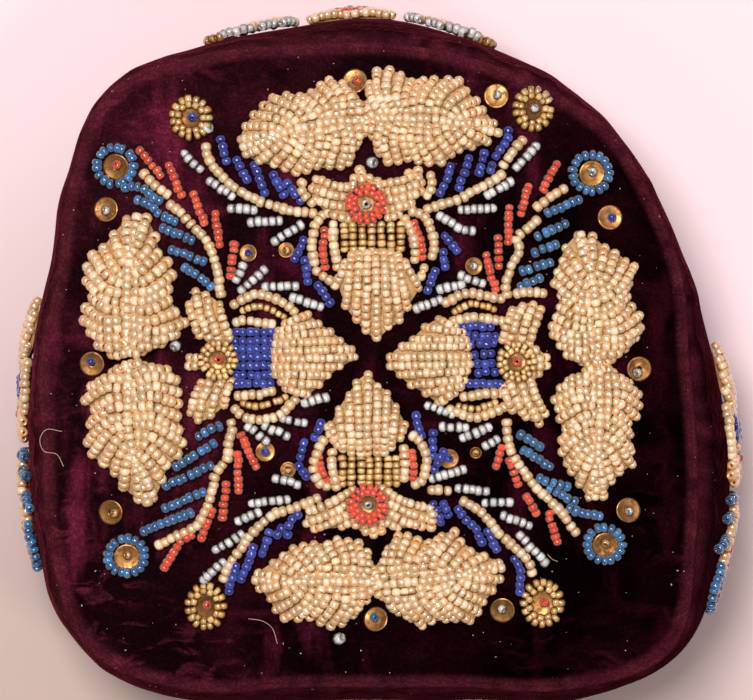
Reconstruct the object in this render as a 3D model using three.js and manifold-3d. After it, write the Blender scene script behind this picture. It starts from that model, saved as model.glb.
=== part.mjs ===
// A velvet smoking cap with raised beadwork, in millimetres. It rests on its rim on z = 0,
// +Z is up, and the crown is laid out as it is seen from above, with +X to the right.
// Shares are parts of the named size that they follow. Charts give places on the crown in
// hundredths of CROWN_HALF from the cap's middle.
import * as THREE from 'three';
import { mergeVertices } from 'three/addons/utils/BufferGeometryUtils.js';
import Module from 'manifold-3d';

// Velvet body
const HALF_WIDTH = 90;
const SEAM_HEIGHT = 70;
const BULGE = 11;
const CROWN_RISE = 6.5;
const BAND_WALL = 2.5;
const CROWN_WALL = 2;
const PUCKER_DEPTH = 1.1;
const GAP = 0.3;
const PAD_GAP = 0.75;

// Beadwork
const CROWN_HALF = 0.978 * HALF_WIDTH;
const LEAF_HALF = 12.4;
const LEAF_RAISE = 5.5;
const BUD_HALF = 10.4;
const BUD_RAISE = 5;
const STAR_HALF = 17.5;
const STAR_RAISE = 4.2;
const BLOCK_RAISE = 2.6;
const RING_RADIUS = 4.8;
const STRING = 2.6;
const SIDE_STRING = 2.2;
const ROSETTE_RADIUS = 5.6;
const SEQUIN_RADIUS = 3.2;
const SEQUIN_WALL = 0.4;
const BEAD = 2.4;
const BAND_STAR_HALF = 15;
const BAND_BUD_LENGTH = 21;
const BAND_BUD_HALF = 9;
const BAND_RAISE = 3.6;
const BAND_BLOCK_RAISE = 2.6;

// Mesh divisions
const TURNS = 48;
const ROUND = 10;
const STEM_SIDES = 6;
const SIDE_STRING_SIDES = 4;

const TURN = 2 * Math.PI;
const radians = (degrees) => (degrees * Math.PI) / 180;

// The cap from above, a row every 15 degrees from +X towards +Y: how far the band reaches, as
// a share of HALF_WIDTH, and how far it bulges past the crown's seam, as a share of BULGE.
const OUTLINE = [
  { angle: 0, reach: 0.952, bulge: 0.75 },
  { angle: 15, reach: 0.918, bulge: 0.38 },
  { angle: 30, reach: 0.915, bulge: 0.29 },
  { angle: 45, reach: 0.935, bulge: 0.27 },
  { angle: 60, reach: 0.943, bulge: 0.5 },
  { angle: 75, reach: 0.946, bulge: 0.59 },
  { angle: 90, reach: 0.972, bulge: 0.76 },
  { angle: 105, reach: 0.98, bulge: 0.62 },
  { angle: 120, reach: 1.028, bulge: 0.4 },
  { angle: 135, reach: 1.094, bulge: 0.26 },
  { angle: 150, reach: 1.034, bulge: 0.29 },
  { angle: 165, reach: 0.98, bulge: 0.39 },
  { angle: 180, reach: 0.994, bulge: 0.35 },
  { angle: 195, reach: 1.04, bulge: 0.52 },
  { angle: 210, reach: 1.125, bulge: 0.49 },
  { angle: 225, reach: 1.193, bulge: 0.32 },
  { angle: 240, reach: 1.122, bulge: 0.42 },
  { angle: 255, reach: 1.011, bulge: 0.49 },
  { angle: 270, reach: 0.977, bulge: 0.48 },
  { angle: 285, reach: 1.011, bulge: 0.49 },
  { angle: 300, reach: 1.122, bulge: 0.46 },
  { angle: 315, reach: 1.199, bulge: 0.39 },
  { angle: 330, reach: 1.128, bulge: 0.92 },
  { angle: 345, reach: 1.034, bulge: 0.99 },
];

// The band from rim to seam: height as a share of SEAM_HEIGHT, and how much of the bulge
// there is at that height.
const BAND_PROFILE = [
  { up: 0, out: 0.42 },
  { up: 0.16, out: 0.72 },
  { up: 0.36, out: 0.95 },
  { up: 0.56, out: 1 },
  { up: 0.76, out: 0.86 },
  { up: 0.92, out: 0.48 },
  { up: 1, out: 0 },
];

// Gathers of the crown's velvet at its seam: direction and half width in degrees, where each
// begins as a share of the way to the seam, and depth as a share of PUCKER_DEPTH.
const PUCKERS = [
  { angle: 97, spread: 7, from: 0.8, depth: 0.8 },
  { angle: 109, spread: 6, from: 0.82, depth: 0.9 },
  { angle: 131, spread: 7, from: 0.7, depth: 0.8 },
  { angle: 147, spread: 7, from: 0.74, depth: 0.7 },
  { angle: 203, spread: 7, from: 0.74, depth: 0.6 },
  { angle: 219, spread: 7, from: 0.66, depth: 1 },
  { angle: 231, spread: 7, from: 0.68, depth: 0.9 },
  { angle: 251, spread: 7, from: 0.8, depth: 0.7 },
  { angle: 283, spread: 7, from: 0.82, depth: 0.7 },
  { angle: 308, spread: 7, from: 0.7, depth: 0.9 },
  { angle: 321, spread: 7, from: 0.68, depth: 0.8 },
  { angle: 336, spread: 7, from: 0.78, depth: 0.6 },
];
const CROWN_FLATNESS = 2.6;

// A pad's cross-section: where its side turns over and how high, as shares of its relief, and
// the ridges and valleys that run from its middle to its lobes.
const SHOULDER = { height: 0.42, inset: 0.8, ridge: 0.9, valley: 0.7 };

// Half of a leaf's edge from base to tip, as shares of its length and of its half width.
const LEAF_EDGE = [
  { along: 0, across: 0.25, lobe: false },
  { along: 0.09, across: 0.72, lobe: true },
  { along: 0.17, across: 0.7, lobe: false },
  { along: 0.28, across: 1, lobe: true },
  { along: 0.38, across: 0.84, lobe: false },
  { along: 0.52, across: 0.98, lobe: true },
  { along: 0.62, across: 0.74, lobe: false },
  { along: 0.76, across: 0.76, lobe: true },
  { along: 0.84, across: 0.42, lobe: false },
  { along: 0.98, across: 0.24, lobe: true },
];

// Half of a bud's edge from the flower to its point near the cap's middle.
const BUD_EDGE = [
  { along: 0, across: 0.5, lobe: false },
  { along: 0.06, across: 0.74, lobe: true },
  { along: 0.18, across: 0.82, lobe: false },
  { along: 0.36, across: 1, lobe: true },
  { along: 0.45, across: 0.76, lobe: false },
  { along: 0.58, across: 0.76, lobe: true },
  { along: 0.66, across: 0.5, lobe: false },
  { along: 0.77, across: 0.46, lobe: true },
  { along: 0.85, across: 0.24, lobe: false },
  { along: 0.98, across: 0.14, lobe: true },
];

// Half of a flower head's edge, from its inner to its outer middle, as shares of STAR_HALF.
// Along runs away from the cap's middle.
const STAR_EDGE = [
  { along: -0.24, across: 0.08, lobe: false },
  { along: -0.26, across: 0.36, lobe: true },
  { along: -0.14, across: 0.5, lobe: false },
  { along: -0.04, across: 0.7, lobe: true },
  { along: 0.12, across: 0.88, lobe: false },
  { along: 0.4, across: 0.97, lobe: true },
  { along: 0.4, across: 0.7, lobe: false },
  { along: 0.46, across: 0.5, lobe: true },
  { along: 0.36, across: 0.26, lobe: false },
  { along: 0.5, across: 0.05, lobe: true },
];
const STAR_INNER = 0.26;

// Leaves, from the base of each to its tip.
const LEAVES = [
  { name: 'leaf_top_left', x: -4, y: 68, tipX: -41.5, tipY: 59 },
  { name: 'leaf_top_right', x: -2.5, y: 69, tipX: 35, tipY: 64 },
  { name: 'leaf_left_upper', x: -71.5, y: 1, tipX: -67, tipY: 43 },
  { name: 'leaf_left_lower', x: -71.5, y: -1.5, tipX: -66, tipY: -43.5 },
  { name: 'leaf_bottom_left', x: -2.5, y: -63.5, tipX: -38, tipY: -63 },
  { name: 'leaf_bottom_right', x: 0, y: -64, tipX: 37, tipY: -59.5 },
  { name: 'leaf_right_upper', x: 62, y: -1.5, tipX: 56, tipY: 40.5 },
  { name: 'leaf_right_lower', x: 62, y: -3.5, tipX: 61, tipY: -42.5 },
];

// The four flowers of the cross: the ring's middle, the bud's tip, where the bud begins as a
// share of STAR_HALF from the ring, and the colour of the block between head and bud.
const FLOWERS = [
  { side: 'top', x: -3.6, y: 43.8, tipX: -1.8, tipY: 4.4, budFrom: 0.66, slot: 'gold' },
  { side: 'left', x: -46, y: -0.4, tipX: -5.5, tipY: 1, budFrom: 0.77, slot: 'blue' },
  { side: 'bottom', x: -3.5, y: -41.6, tipX: -3.5, tipY: -4.1, budFrom: 0.69, slot: 'gold' },
  { side: 'right', x: 38.7, y: -1, tipX: 0, tipY: -1, budFrom: 0.66, slot: 'blue' },
];
const BLOCK_HALF = 0.42;

// The band of curved strings beside a block, its middle line in shares of STAR_HALF.
const ARC = [
  { along: -0.06, across: 0.62 },
  { along: -0.38, across: 0.7 },
  { along: -0.7, across: 0.71 },
  { along: -1, across: 0.64 },
];
const ARC_STRINGS = 2.8;

// Sprays: the stem from its rosette to the flower that it springs from, and on each side the
// number of side strings, their length as a share of CROWN_HALF and their lean in degrees.
const SPRAYS = [
  { name: 'spray_upper_left_blue', left: 5, right: 5, length: 0.1, lean: 29,
    stem: [[-66, 51.5], [-57, 41], [-50.5, 33.5], [-46.5, 24.5], [-44.8, 18]] },
  { name: 'spray_upper_left_amber', left: 4, right: 5, length: 0.09, lean: 34,
    stem: [[-49, 58.5], [-47, 51.5], [-40, 45.5], [-31, 42], [-21, 41.2]] },
  { name: 'spray_upper_right_amber', left: 4, right: 4, length: 0.1, lean: 32,
    stem: [[41, 60.5], [34.5, 54.5], [27, 48.5], [19, 44], [14, 42]] },
  { name: 'spray_upper_right_blue', left: 5, right: 4, length: 0.088, lean: 34,
    stem: [[53, 47.5], [46, 42], [41, 36], [37.5, 27.5], [35.6, 18]] },
  { name: 'spray_lower_right_blue', left: 4, right: 4, length: 0.1, lean: 27,
    stem: [[55.5, -48.5], [48.5, -41.5], [43, -36], [38.5, -28.5], [36.5, -20]] },
  { name: 'spray_lower_right_amber', left: 5, right: 5, length: 0.084, lean: 36,
    stem: [[43, -60], [38, -53.5], [30, -45.5], [22.5, -40], [14, -38]] },
  { name: 'spray_lower_left_amber', left: 4, right: 5, length: 0.084, lean: 34,
    stem: [[-44.5, -62], [-41, -56], [-35, -48], [-27, -42.5], [-20.5, -40.4]] },
  { name: 'spray_lower_left_blue', left: 4, right: 5, length: 0.108, lean: 27,
    stem: [[-63.5, -53], [-54.5, -47], [-48, -40], [-44.5, -31], [-42.5, -20]] },
];

// Where side strings spring from a stem, first and last, as shares of its length.
const SPRAY_SPAN = { first: 0.16, last: 0.96 };

// Rings of beads, each round a sequin.
const ROSETTES = [
  { name: 'rosette_left_upper', x: -75.5, y: 55.5, slot: 'light_blue' },
  { name: 'rosette_top_left', x: -54, y: 68.5, slot: 'amber' },
  { name: 'rosette_top_right', x: 43.5, y: 71, slot: 'amber' },
  { name: 'rosette_right_upper', x: 60, y: 53, slot: 'light_blue' },
  { name: 'rosette_right_lower', x: 64, y: -53.5, slot: 'light_blue' },
  { name: 'rosette_bottom_right', x: 46, y: -69.5, slot: 'amber' },
  { name: 'rosette_bottom_left', x: -49, y: -71, slot: 'amber' },
  { name: 'rosette_left_lower', x: -72.5, y: -56, slot: 'light_blue' },
];

// Loose sequins outside the leaves.
const SEQUINS = [
  { name: 'sequin_1', x: -78, y: 42.5 },
  { name: 'sequin_2', x: -82, y: -1.5 },
  { name: 'sequin_3', x: -77, y: -44 },
  { name: 'sequin_4', x: -1.5, y: -74 },
  { name: 'sequin_5', x: 35, y: -71.5 },
  { name: 'sequin_6', x: 70.5, y: -43.5 },
  { name: 'sequin_7', x: 73.5, y: -3 },
  { name: 'sequin_8', x: 65.5, y: 40 },
  { name: 'sequin_9', x: 33, y: 75 },
  { name: 'sequin_10', x: -7, y: 79 },
];

// One flower on each side of the band: the direction of its ring in degrees, the ring's height
// as a share of SEAM_HEIGHT, which way its bud points (0 along the band towards +angle, 90 up),
// its size as a share of the band's flower and its relief as a share of BAND_RAISE.
const BAND_FLOWERS = [
  { side: 'right', angle: -16, up: 0.58, bud: 0, size: 1, relief: 1, stems: 'ahead' },
  { side: 'back', angle: 95, up: 0.6, bud: -90, size: 0.8, relief: 1, stems: 'beside' },
  { side: 'left', angle: 189, up: 0.58, bud: 180, size: 1, relief: 1, stems: 'ahead' },
  { side: 'front', angle: 268, up: 0.4, bud: -90, size: 0.72, relief: 0.75, stems: 'beside' },
];
const BAND_BUD_FROM = 0.66;

// The two sprays of a band flower, in shares of BAND_STAR_HALF from its ring. Along runs away
// from the bud, and the other spray is mirrored.
const BAND_STEMS = {
  ahead: [[0.65, 0.5], [1.05, 0.8], [1.5, 0.95], [1.95, 0.85]],
  beside: [[0.1, 1.15], [0.2, 1.6], [0.05, 2.05], [-0.3, 2.45]],
};
const BAND_SPRAY = { left: 2, right: 2, length: 0.075, lean: 34 };

const wasm = await Module();
wasm.setup();

function toSolid(geometry) {
  geometry.deleteAttribute('normal');
  geometry.deleteAttribute('uv');
  const merged = mergeVertices(geometry, 1e-3);
  const mesh = new wasm.Mesh({
    numProp: 3,
    vertProperties: new Float32Array(merged.attributes.position.array),
    triVerts: new Uint32Array(merged.index.array),
  });
  return new wasm.Manifold(mesh);
}

function toGeometry(solid) {
  const mesh = solid.getMesh();
  const geometry = new THREE.BufferGeometry();
  geometry.setAttribute('position', new THREE.BufferAttribute(mesh.vertProperties, 3));
  geometry.setIndex(new THREE.BufferAttribute(mesh.triVerts, 1));
  geometry.computeVertexNormals();
  return geometry;
}

function fromFaces(points, faces) {
  const geometry = new THREE.BufferGeometry();
  geometry.setAttribute('position', new THREE.Float32BufferAttribute(points, 3));
  geometry.setIndex(faces);
  geometry.computeVertexNormals();
  return geometry;
}

// A smooth curve through one column of the outline table, all the way round.
function around(angle, column) {
  const count = OUTLINE.length;
  const place = (angle / TURN) * count;
  const row = Math.floor(place);
  const t = place - row;
  const value = (k) => OUTLINE[(((row + k) % count) + count) % count][column];
  const [a, b, c, d] = [value(-1), value(0), value(1), value(2)];
  return b + 0.5 * t * (c - a + t * (2 * a - 5 * b + 4 * c - d + t * (3 * (b - c) + d - a)));
}

function seamRadius(angle) {
  return around(angle, 'reach') * HALF_WIDTH - around(angle, 'bulge') * BULGE;
}

function bulgeShare(up) {
  const last = BAND_PROFILE.length - 1;
  const row = Math.min(last, Math.max(1, BAND_PROFILE.findIndex((p) => p.up >= up)));
  const [below, above] = [BAND_PROFILE[row - 1], BAND_PROFILE[row]];
  const t = (up - below.up) / (above.up - below.up);
  return THREE.MathUtils.lerp(below.out, above.out, t);
}

function bandRadius(angle, up) {
  return seamRadius(angle) + around(angle, 'bulge') * BULGE * bulgeShare(up);
}

function puckerDepth(angle, share) {
  let depth = 0;
  for (const { angle: middle, spread, from, depth: part } of PUCKERS) {
    const turned = THREE.MathUtils.euclideanModulo(angle - radians(middle) + Math.PI, TURN);
    const off = Math.abs(turned - Math.PI) / radians(spread);
    if (off >= 1 || share <= from) continue;
    depth += part * Math.cos((off * Math.PI) / 2) ** 2 * ((share - from) / (1 - from));
  }
  return PUCKER_DEPTH * depth;
}

// Height of the crown's velvet above the floor, a share of the way from middle to seam.
function crownHeight(angle, share) {
  const dome = CROWN_RISE * (1 - Math.min(1, share) ** CROWN_FLATNESS);
  return SEAM_HEIGHT + GAP + CROWN_WALL + dome - puckerDepth(angle, share);
}

function onCrown(x, y, height) {
  const angle = Math.atan2(y, x);
  const share = Math.hypot(x, y) / seamRadius(angle);
  return new THREE.Vector3(x, y, crownHeight(angle, share) + height);
}

// Turns a chain of sections, each a function of the angle that gives radius and height, into
// one closed body. The chain closes on itself, or starts and ends on the axis.
function turned(sections, onAxis) {
  const points = [];
  const faces = [];
  const rings = onAxis ? sections.slice(1, -1) : sections;
  for (const section of rings) {
    for (let i = 0; i < TURNS; i++) {
      const angle = (i / TURNS) * TURN;
      const [radius, height] = section(angle);
      points.push(radius * Math.cos(angle), radius * Math.sin(angle), height);
    }
  }
  const pairs = onAxis ? rings.length - 1 : rings.length;
  for (let k = 0; k < pairs; k++) {
    const lower = k * TURNS;
    const upper = ((k + 1) % rings.length) * TURNS;
    for (let i = 0; i < TURNS; i++) {
      const j = (i + 1) % TURNS;
      faces.push(lower + i, lower + j, upper + j, lower + i, upper + j, upper + i);
    }
  }
  if (onAxis) {
    const first = points.length / 3;
    points.push(0, 0, sections[0](0)[1], 0, 0, sections.at(-1)(0)[1]);
    const lastRing = (rings.length - 1) * TURNS;
    for (let i = 0; i < TURNS; i++) {
      const j = (i + 1) % TURNS;
      faces.push(first, j, i, first + 1, lastRing + i, lastRing + j);
    }
  }
  return fromFaces(points, faces);
}

// The crown's velvet over its backing, from the middle of its underside round its edge to the
// middle of its top.
function crownGeometry() {
  const under = [0, 0.5, 0.85, 1];
  const over = [1, 0.95, 0.88, 0.78, 0.65, 0.4, 0];
  const underside = (share) => (angle) => {
    const dome = CROWN_RISE * (1 - share ** CROWN_FLATNESS);
    return [share * seamRadius(angle), SEAM_HEIGHT + GAP + dome];
  };
  const top = (share) => (angle) => [share * seamRadius(angle), crownHeight(angle, share)];
  return turned([...under.map(underside), ...over.map(top)], true);
}

// The velvet side wall, up its outer face and down its inner one.
function bandGeometry() {
  const outer = BAND_PROFILE.map(({ up }) => (angle) => [bandRadius(angle, up), up * SEAM_HEIGHT]);
  const inner = [1, 0.82, 0.4, 0].map((up) => (angle) => [
    bandRadius(angle, up) - BAND_WALL,
    up * SEAM_HEIGHT,
  ]);
  return turned([...outer, ...inner], false);
}

// Lengths along the band at its widest, from +X, one for each degree.
const WIDEST = 0.56;
const bandLengths = [0];
for (let i = 1; i <= 360; i++) {
  const [from, to] = [bandSpot(radians(i - 1), WIDEST), bandSpot(radians(i), WIDEST)];
  bandLengths.push(bandLengths[i - 1] + from.distanceTo(to));
}

function bandSpot(angle, up) {
  const radius = bandRadius(angle, up);
  return new THREE.Vector3(radius * Math.cos(angle), radius * Math.sin(angle), up * SEAM_HEIGHT);
}

function bandAngle(length) {
  const whole = bandLengths[360];
  const wanted = THREE.MathUtils.euclideanModulo(length, whole);
  const row = Math.max(1, bandLengths.findIndex((l) => l >= wanted));
  const t = (wanted - bandLengths[row - 1]) / (bandLengths[row] - bandLengths[row - 1]);
  return radians(row - 1 + t);
}

// A place on the band: along it from a direction, up from the rim and out from the velvet.
function onBand(direction, along, up, out) {
  const degrees = THREE.MathUtils.euclideanModulo(direction, 360);
  const angle = bandAngle(bandLengths[Math.round(degrees)] + along);
  const ahead = bandSpot(angle + radians(1), WIDEST);
  const behind = bandSpot(angle - radians(1), WIDEST);
  const tangent = ahead.sub(behind).normalize();
  const outward = new THREE.Vector3(tangent.y, -tangent.x, 0);
  return bandSpot(angle, up / SEAM_HEIGHT).addScaledVector(outward, out);
}

// Both halves of a motif's edge, so that it runs round anticlockwise when along points ahead
// and across points to the left.
function wholeEdge(half, length, width) {
  const side = (sign) =>
    half.map((p) => ({ along: p.along * length, across: sign * p.across * width, lobe: p.lobe }));
  return [...side(-1), ...side(1).reverse()];
}

// A puffed pad inside an edge, with a ridge towards each lobe. place puts along, across and
// height on the velvet, and its flat facets stay clear of the velvet's curve by PAD_GAP. The
// copy that makes room for it is grown on top and reaches into the velvet. A ring of beads
// round its middle stands up by ring.height.
function pad(edge, raise, place, grow, ring = null) {
  const low = PAD_GAP - 3 * grow;
  const high = raise + grow;
  const middle = { along: 0, across: 0 };
  for (const p of edge) {
    middle.along += p.along / edge.length;
    middle.across += p.across / edge.length;
  }
  const loop = (share, height) =>
    edge.map((p) => {
      const along = THREE.MathUtils.lerp(middle.along, p.along, share);
      const across = THREE.MathUtils.lerp(middle.across, p.across, share);
      return place(along, across, height(p));
    });
  const loops = [
    loop(1, () => low),
    loop(1, () => high * SHOULDER.height),
    loop(SHOULDER.inset, (p) => high * (p.lobe ? SHOULDER.ridge : SHOULDER.valley)),
  ];
  if (ring) {
    loops.push(edge.map((p) => {
      const angle = Math.atan2(p.across - middle.across, p.along - middle.along);
      const [x, y] = [ring.radius * Math.cos(angle), ring.radius * Math.sin(angle)];
      return place(middle.along + x, middle.across + y, high + ring.height);
    }));
  }
  const count = edge.length;
  const points = loops.flat().flatMap((p) => p.toArray());
  const bottom = points.length / 3;
  const top = (loops.length - 1) * count;
  points.push(...place(middle.along, middle.across, low).toArray());
  points.push(...place(middle.along, middle.across, high).toArray());
  const faces = [];
  for (let i = 0; i < count; i++) {
    const j = (i + 1) % count;
    faces.push(bottom, j, i, bottom + 1, top + i, top + j);
    for (let base = 0; base < top; base += count) {
      faces.push(base + i, base + j, base + count + j);
      faces.push(base + i, base + count + j, base + count + i);
    }
  }
  return toSolid(fromFaces(points, faces));
}

// A round strand along places on the velvet, wider than high where it stands for a bundle.
function strand(place, spots, width, height, sides, steps, grow = 0) {
  const path = new THREE.CatmullRomCurve3(
    spots.map(([x, y]) => place(x, y, GAP + height / 2)),
  );
  const corners = Array.from({ length: sides }, (_, i) => {
    const angle = ((i + 0.5) / sides) * TURN;
    const [up, aside] = [height / 2 + grow, width / 2 + grow];
    return new THREE.Vector2(up * Math.sin(angle), aside * Math.cos(angle));
  });
  const section = new THREE.Shape(corners);
  return toSolid(new THREE.ExtrudeGeometry(section, { steps, extrudePath: path }));
}

// A frame on the crown: along runs in the heading, across to its left.
function crownFrame(x, y, heading) {
  const [c, s] = [Math.cos(heading), Math.sin(heading)];
  return (along, across, height) =>
    onCrown(x + along * c - across * s, y + along * s + across * c, height);
}

// The same on the band, from a place along it and up it.
function bandFrame(direction, length, up, heading) {
  const [c, s] = [Math.cos(heading), Math.sin(heading)];
  return (along, across, height) =>
    onBand(direction, length + along * c - across * s, up + along * s + across * c, height);
}

const chart = (hundredths) => (hundredths / 100) * CROWN_HALF;

function chartStep({ x, y, tipX, tipY }) {
  const [dx, dy] = [chart(tipX - x), chart(tipY - y)];
  return { length: Math.hypot(dx, dy), heading: Math.atan2(dy, dx) };
}

function leafSolid(leaf, grow) {
  const { length, heading } = chartStep(leaf);
  const place = crownFrame(chart(leaf.x), chart(leaf.y), heading);
  const edge = wholeEdge(LEAF_EDGE, length + grow, LEAF_HALF + grow);
  return pad(edge, LEAF_RAISE, place, grow);
}

function budSolid(flower, grow) {
  const { length, heading } = chartStep(flower);
  const place = crownFrame(chart(flower.x), chart(flower.y), heading);
  const from = flower.budFrom * STAR_HALF - grow;
  const edge = wholeEdge(BUD_EDGE, length - from + grow, BUD_HALF + grow);
  const shifted = edge.map((p) => ({ ...p, along: p.along + from }));
  return pad(shifted, BUD_RAISE, place, grow);
}

function blockSolid(flower, grow) {
  const { heading } = chartStep(flower);
  const place = crownFrame(chart(flower.x), chart(flower.y), heading);
  const from = STAR_INNER * STAR_HALF + 2 * GAP - grow;
  const to = flower.budFrom * STAR_HALF - GAP + grow;
  const half = BLOCK_HALF * STAR_HALF + grow;
  const edge = [
    { along: from, across: -half },
    { along: to, across: -half },
    { along: to, across: half },
    { along: from, across: half },
  ];
  return pad(edge, BLOCK_RAISE, place, grow);
}

// A flower's head with its ring, and the band of strings on each side of its block.
function flowerSolid(flower, grow) {
  const outward = chartStep(flower).heading + Math.PI;
  const place = crownFrame(chart(flower.x), chart(flower.y), outward);
  const size = STAR_HALF + grow;
  const ring = { radius: RING_RADIUS - STRING / 2, height: STRING / 2 };
  let solid = pad(wholeEdge(STAR_EDGE, size, size), STAR_RAISE, place, grow, ring);
  const width = ARC_STRINGS * SIDE_STRING;
  const ends = { 0: 2 * grow, [ARC.length - 1]: -2 * grow };
  for (const side of [-1, 1]) {
    const spots = ARC.map(({ along, across }, i) => {
      const reach = along * STAR_HALF + (ends[i] ?? 0);
      const spot = place(reach, side * across * STAR_HALF, 0);
      return [spot.x, spot.y];
    });
    solid = solid.add(strand(onCrown, spots, width, STRING, STEM_SIDES, 3, grow));
  }
  return solid;
}

// A stem with side strings that lean back along it on either side.
function spraySolid(place, stem, { left, right, length, lean }) {
  const flat = new THREE.CatmullRomCurve3(stem.map(([x, y]) => new THREE.Vector3(x, y, 0)));
  let solid = strand(place, stem, STRING, STRING, STEM_SIDES, 4);
  for (const [side, count] of [[-1, left], [1, right]]) {
    for (let i = 0; i < count; i++) {
      const share = THREE.MathUtils.lerp(SPRAY_SPAN.first, SPRAY_SPAN.last, i / (count - 1));
      const root = flat.getPointAt(share);
      const back = flat.getTangentAt(share).negate();
      back.applyAxisAngle(new THREE.Vector3(0, 0, 1), side * radians(lean));
      const tip = root.clone().addScaledVector(back, length * CROWN_HALF);
      const spots = [[root.x, root.y], [tip.x, tip.y]];
      solid = solid.add(strand(place, spots, SIDE_STRING, SIDE_STRING, SIDE_STRING_SIDES, 1));
    }
  }
  return solid;
}

// A round piece turned about its own axis and laid on the crown.
function layOnCrown(mesh, x, y) {
  const spot = onCrown(x, y, GAP);
  const ahead = onCrown(x + 1, y, GAP).sub(onCrown(x - 1, y, GAP));
  const aside = onCrown(x, y + 1, GAP).sub(onCrown(x, y - 1, GAP));
  const up = ahead.cross(aside).normalize();
  mesh.quaternion.setFromUnitVectors(new THREE.Vector3(0, 0, 1), up);
  mesh.position.copy(spot);
}

function lathe(profile) {
  const points = profile.map(([radius, height]) => new THREE.Vector2(radius, height));
  return new THREE.LatheGeometry(points, ROUND).rotateX(Math.PI / 2);
}

// From the axis out under the disc, over its rim and up the bead that holds it.
function sequinGeometry() {
  const half = BEAD / 2;
  return lathe([
    [0, 0],
    [SEQUIN_RADIUS, 0],
    [SEQUIN_RADIUS, SEQUIN_WALL],
    [half, SEQUIN_WALL],
    [0, SEQUIN_WALL + 2 * half],
  ]);
}

// The same disc with a ring of beads round it.
function rosetteGeometry() {
  const half = STRING / 2;
  const inner = ROSETTE_RADIUS - STRING;
  const bead = BEAD / 2;
  return lathe([
    [0, 0],
    [inner + half, 0],
    [ROSETTE_RADIUS, half],
    [inner + half, STRING],
    [inner, half],
    [bead, half],
    [0, half + 2 * bead],
  ]);
}

// A flower on the band: its head, a low block beside its ring and the bud beyond the block.
function bandFlowerSolid(flower, grow) {
  const up = flower.up * SEAM_HEIGHT;
  const raise = BAND_RAISE * flower.relief;
  const star = BAND_STAR_HALF * flower.size;
  const outward = bandFrame(flower.angle, 0, up, radians(flower.bud + 180));
  const inward = bandFrame(flower.angle, 0, up, radians(flower.bud));
  const head = pad(wholeEdge(STAR_EDGE, star + grow, star + grow), raise, outward, grow);
  const from = BAND_BUD_FROM * star;
  const budEdge = wholeEdge(BUD_EDGE, BAND_BUD_LENGTH * flower.size, BAND_BUD_HALF * flower.size);
  const shifted = budEdge.map((p) => ({ ...p, along: p.along + from }));
  const half = BLOCK_HALF * star + grow;
  const block = [
    { along: 0, across: -half },
    { along: from + STRING, across: -half },
    { along: from + STRING, across: half },
    { along: 0, across: half },
  ];
  const low = BAND_BLOCK_RAISE * flower.relief;
  return head.add(pad(shifted, raise, inward, grow)).add(pad(block, low, inward, grow));
}

function bandSpraySolid(flower, side) {
  const up = flower.up * SEAM_HEIGHT;
  const place = bandFrame(flower.angle, 0, up, radians(flower.bud + 180));
  const star = BAND_STAR_HALF * flower.size;
  const stem = BAND_STEMS[flower.stems].map(([x, y]) => [x * star, side * y * star]).reverse();
  return spraySolid(place, stem, BAND_SPRAY);
}

const material = (colour, roughness, metalness = 0) =>
  new THREE.MeshStandardMaterial({ color: colour, roughness, metalness });

const SLOTS = {
  velvet: () => material(0x2a0a20, 0.95),
  cream: () => material(0xe0bd8c, 0.35),
  light_blue: () => material(0x5c90c4, 0.3),
  amber: () => material(0xc08a48, 0.3),
  blue: () => material(0x3c48a8, 0.35),
  gold: () => material(0xd0923c, 0.4),
  brass: () => material(0xa87838, 0.35, 0.8),
};

const cap = new THREE.Group();

function addMesh(name, geometry, slot) {
  const mesh = new THREE.Mesh(geometry, SLOTS[slot]());
  mesh.name = name;
  cap.add(mesh);
  return mesh;
}

// What is left of a solid when its neighbours are cut out of it. A cut end that falls away
// is dropped with its beads.
function clearOf(solid, neighbours) {
  let rest = solid;
  for (const neighbour of neighbours) rest = rest.subtract(neighbour);
  const bodies = rest.decompose();
  return bodies.reduce((a, b) => (a.volume() > b.volume() ? a : b));
}

function addVelvet() {
  addMesh('crown_panel', crownGeometry(), 'velvet');
  addMesh('side_band', bandGeometry(), 'velvet');
}

// Room for a round piece that is laid on the crown.
function discRoom({ x, y }, radius) {
  const disc = new THREE.CylinderGeometry(radius + GAP, radius + GAP, 4 * STRING, ROUND);
  const mesh = new THREE.Mesh(disc.rotateX(Math.PI / 2));
  layOnCrown(mesh, chart(x), chart(y));
  mesh.updateMatrix();
  return toSolid(disc.applyMatrix4(mesh.matrix));
}

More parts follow.
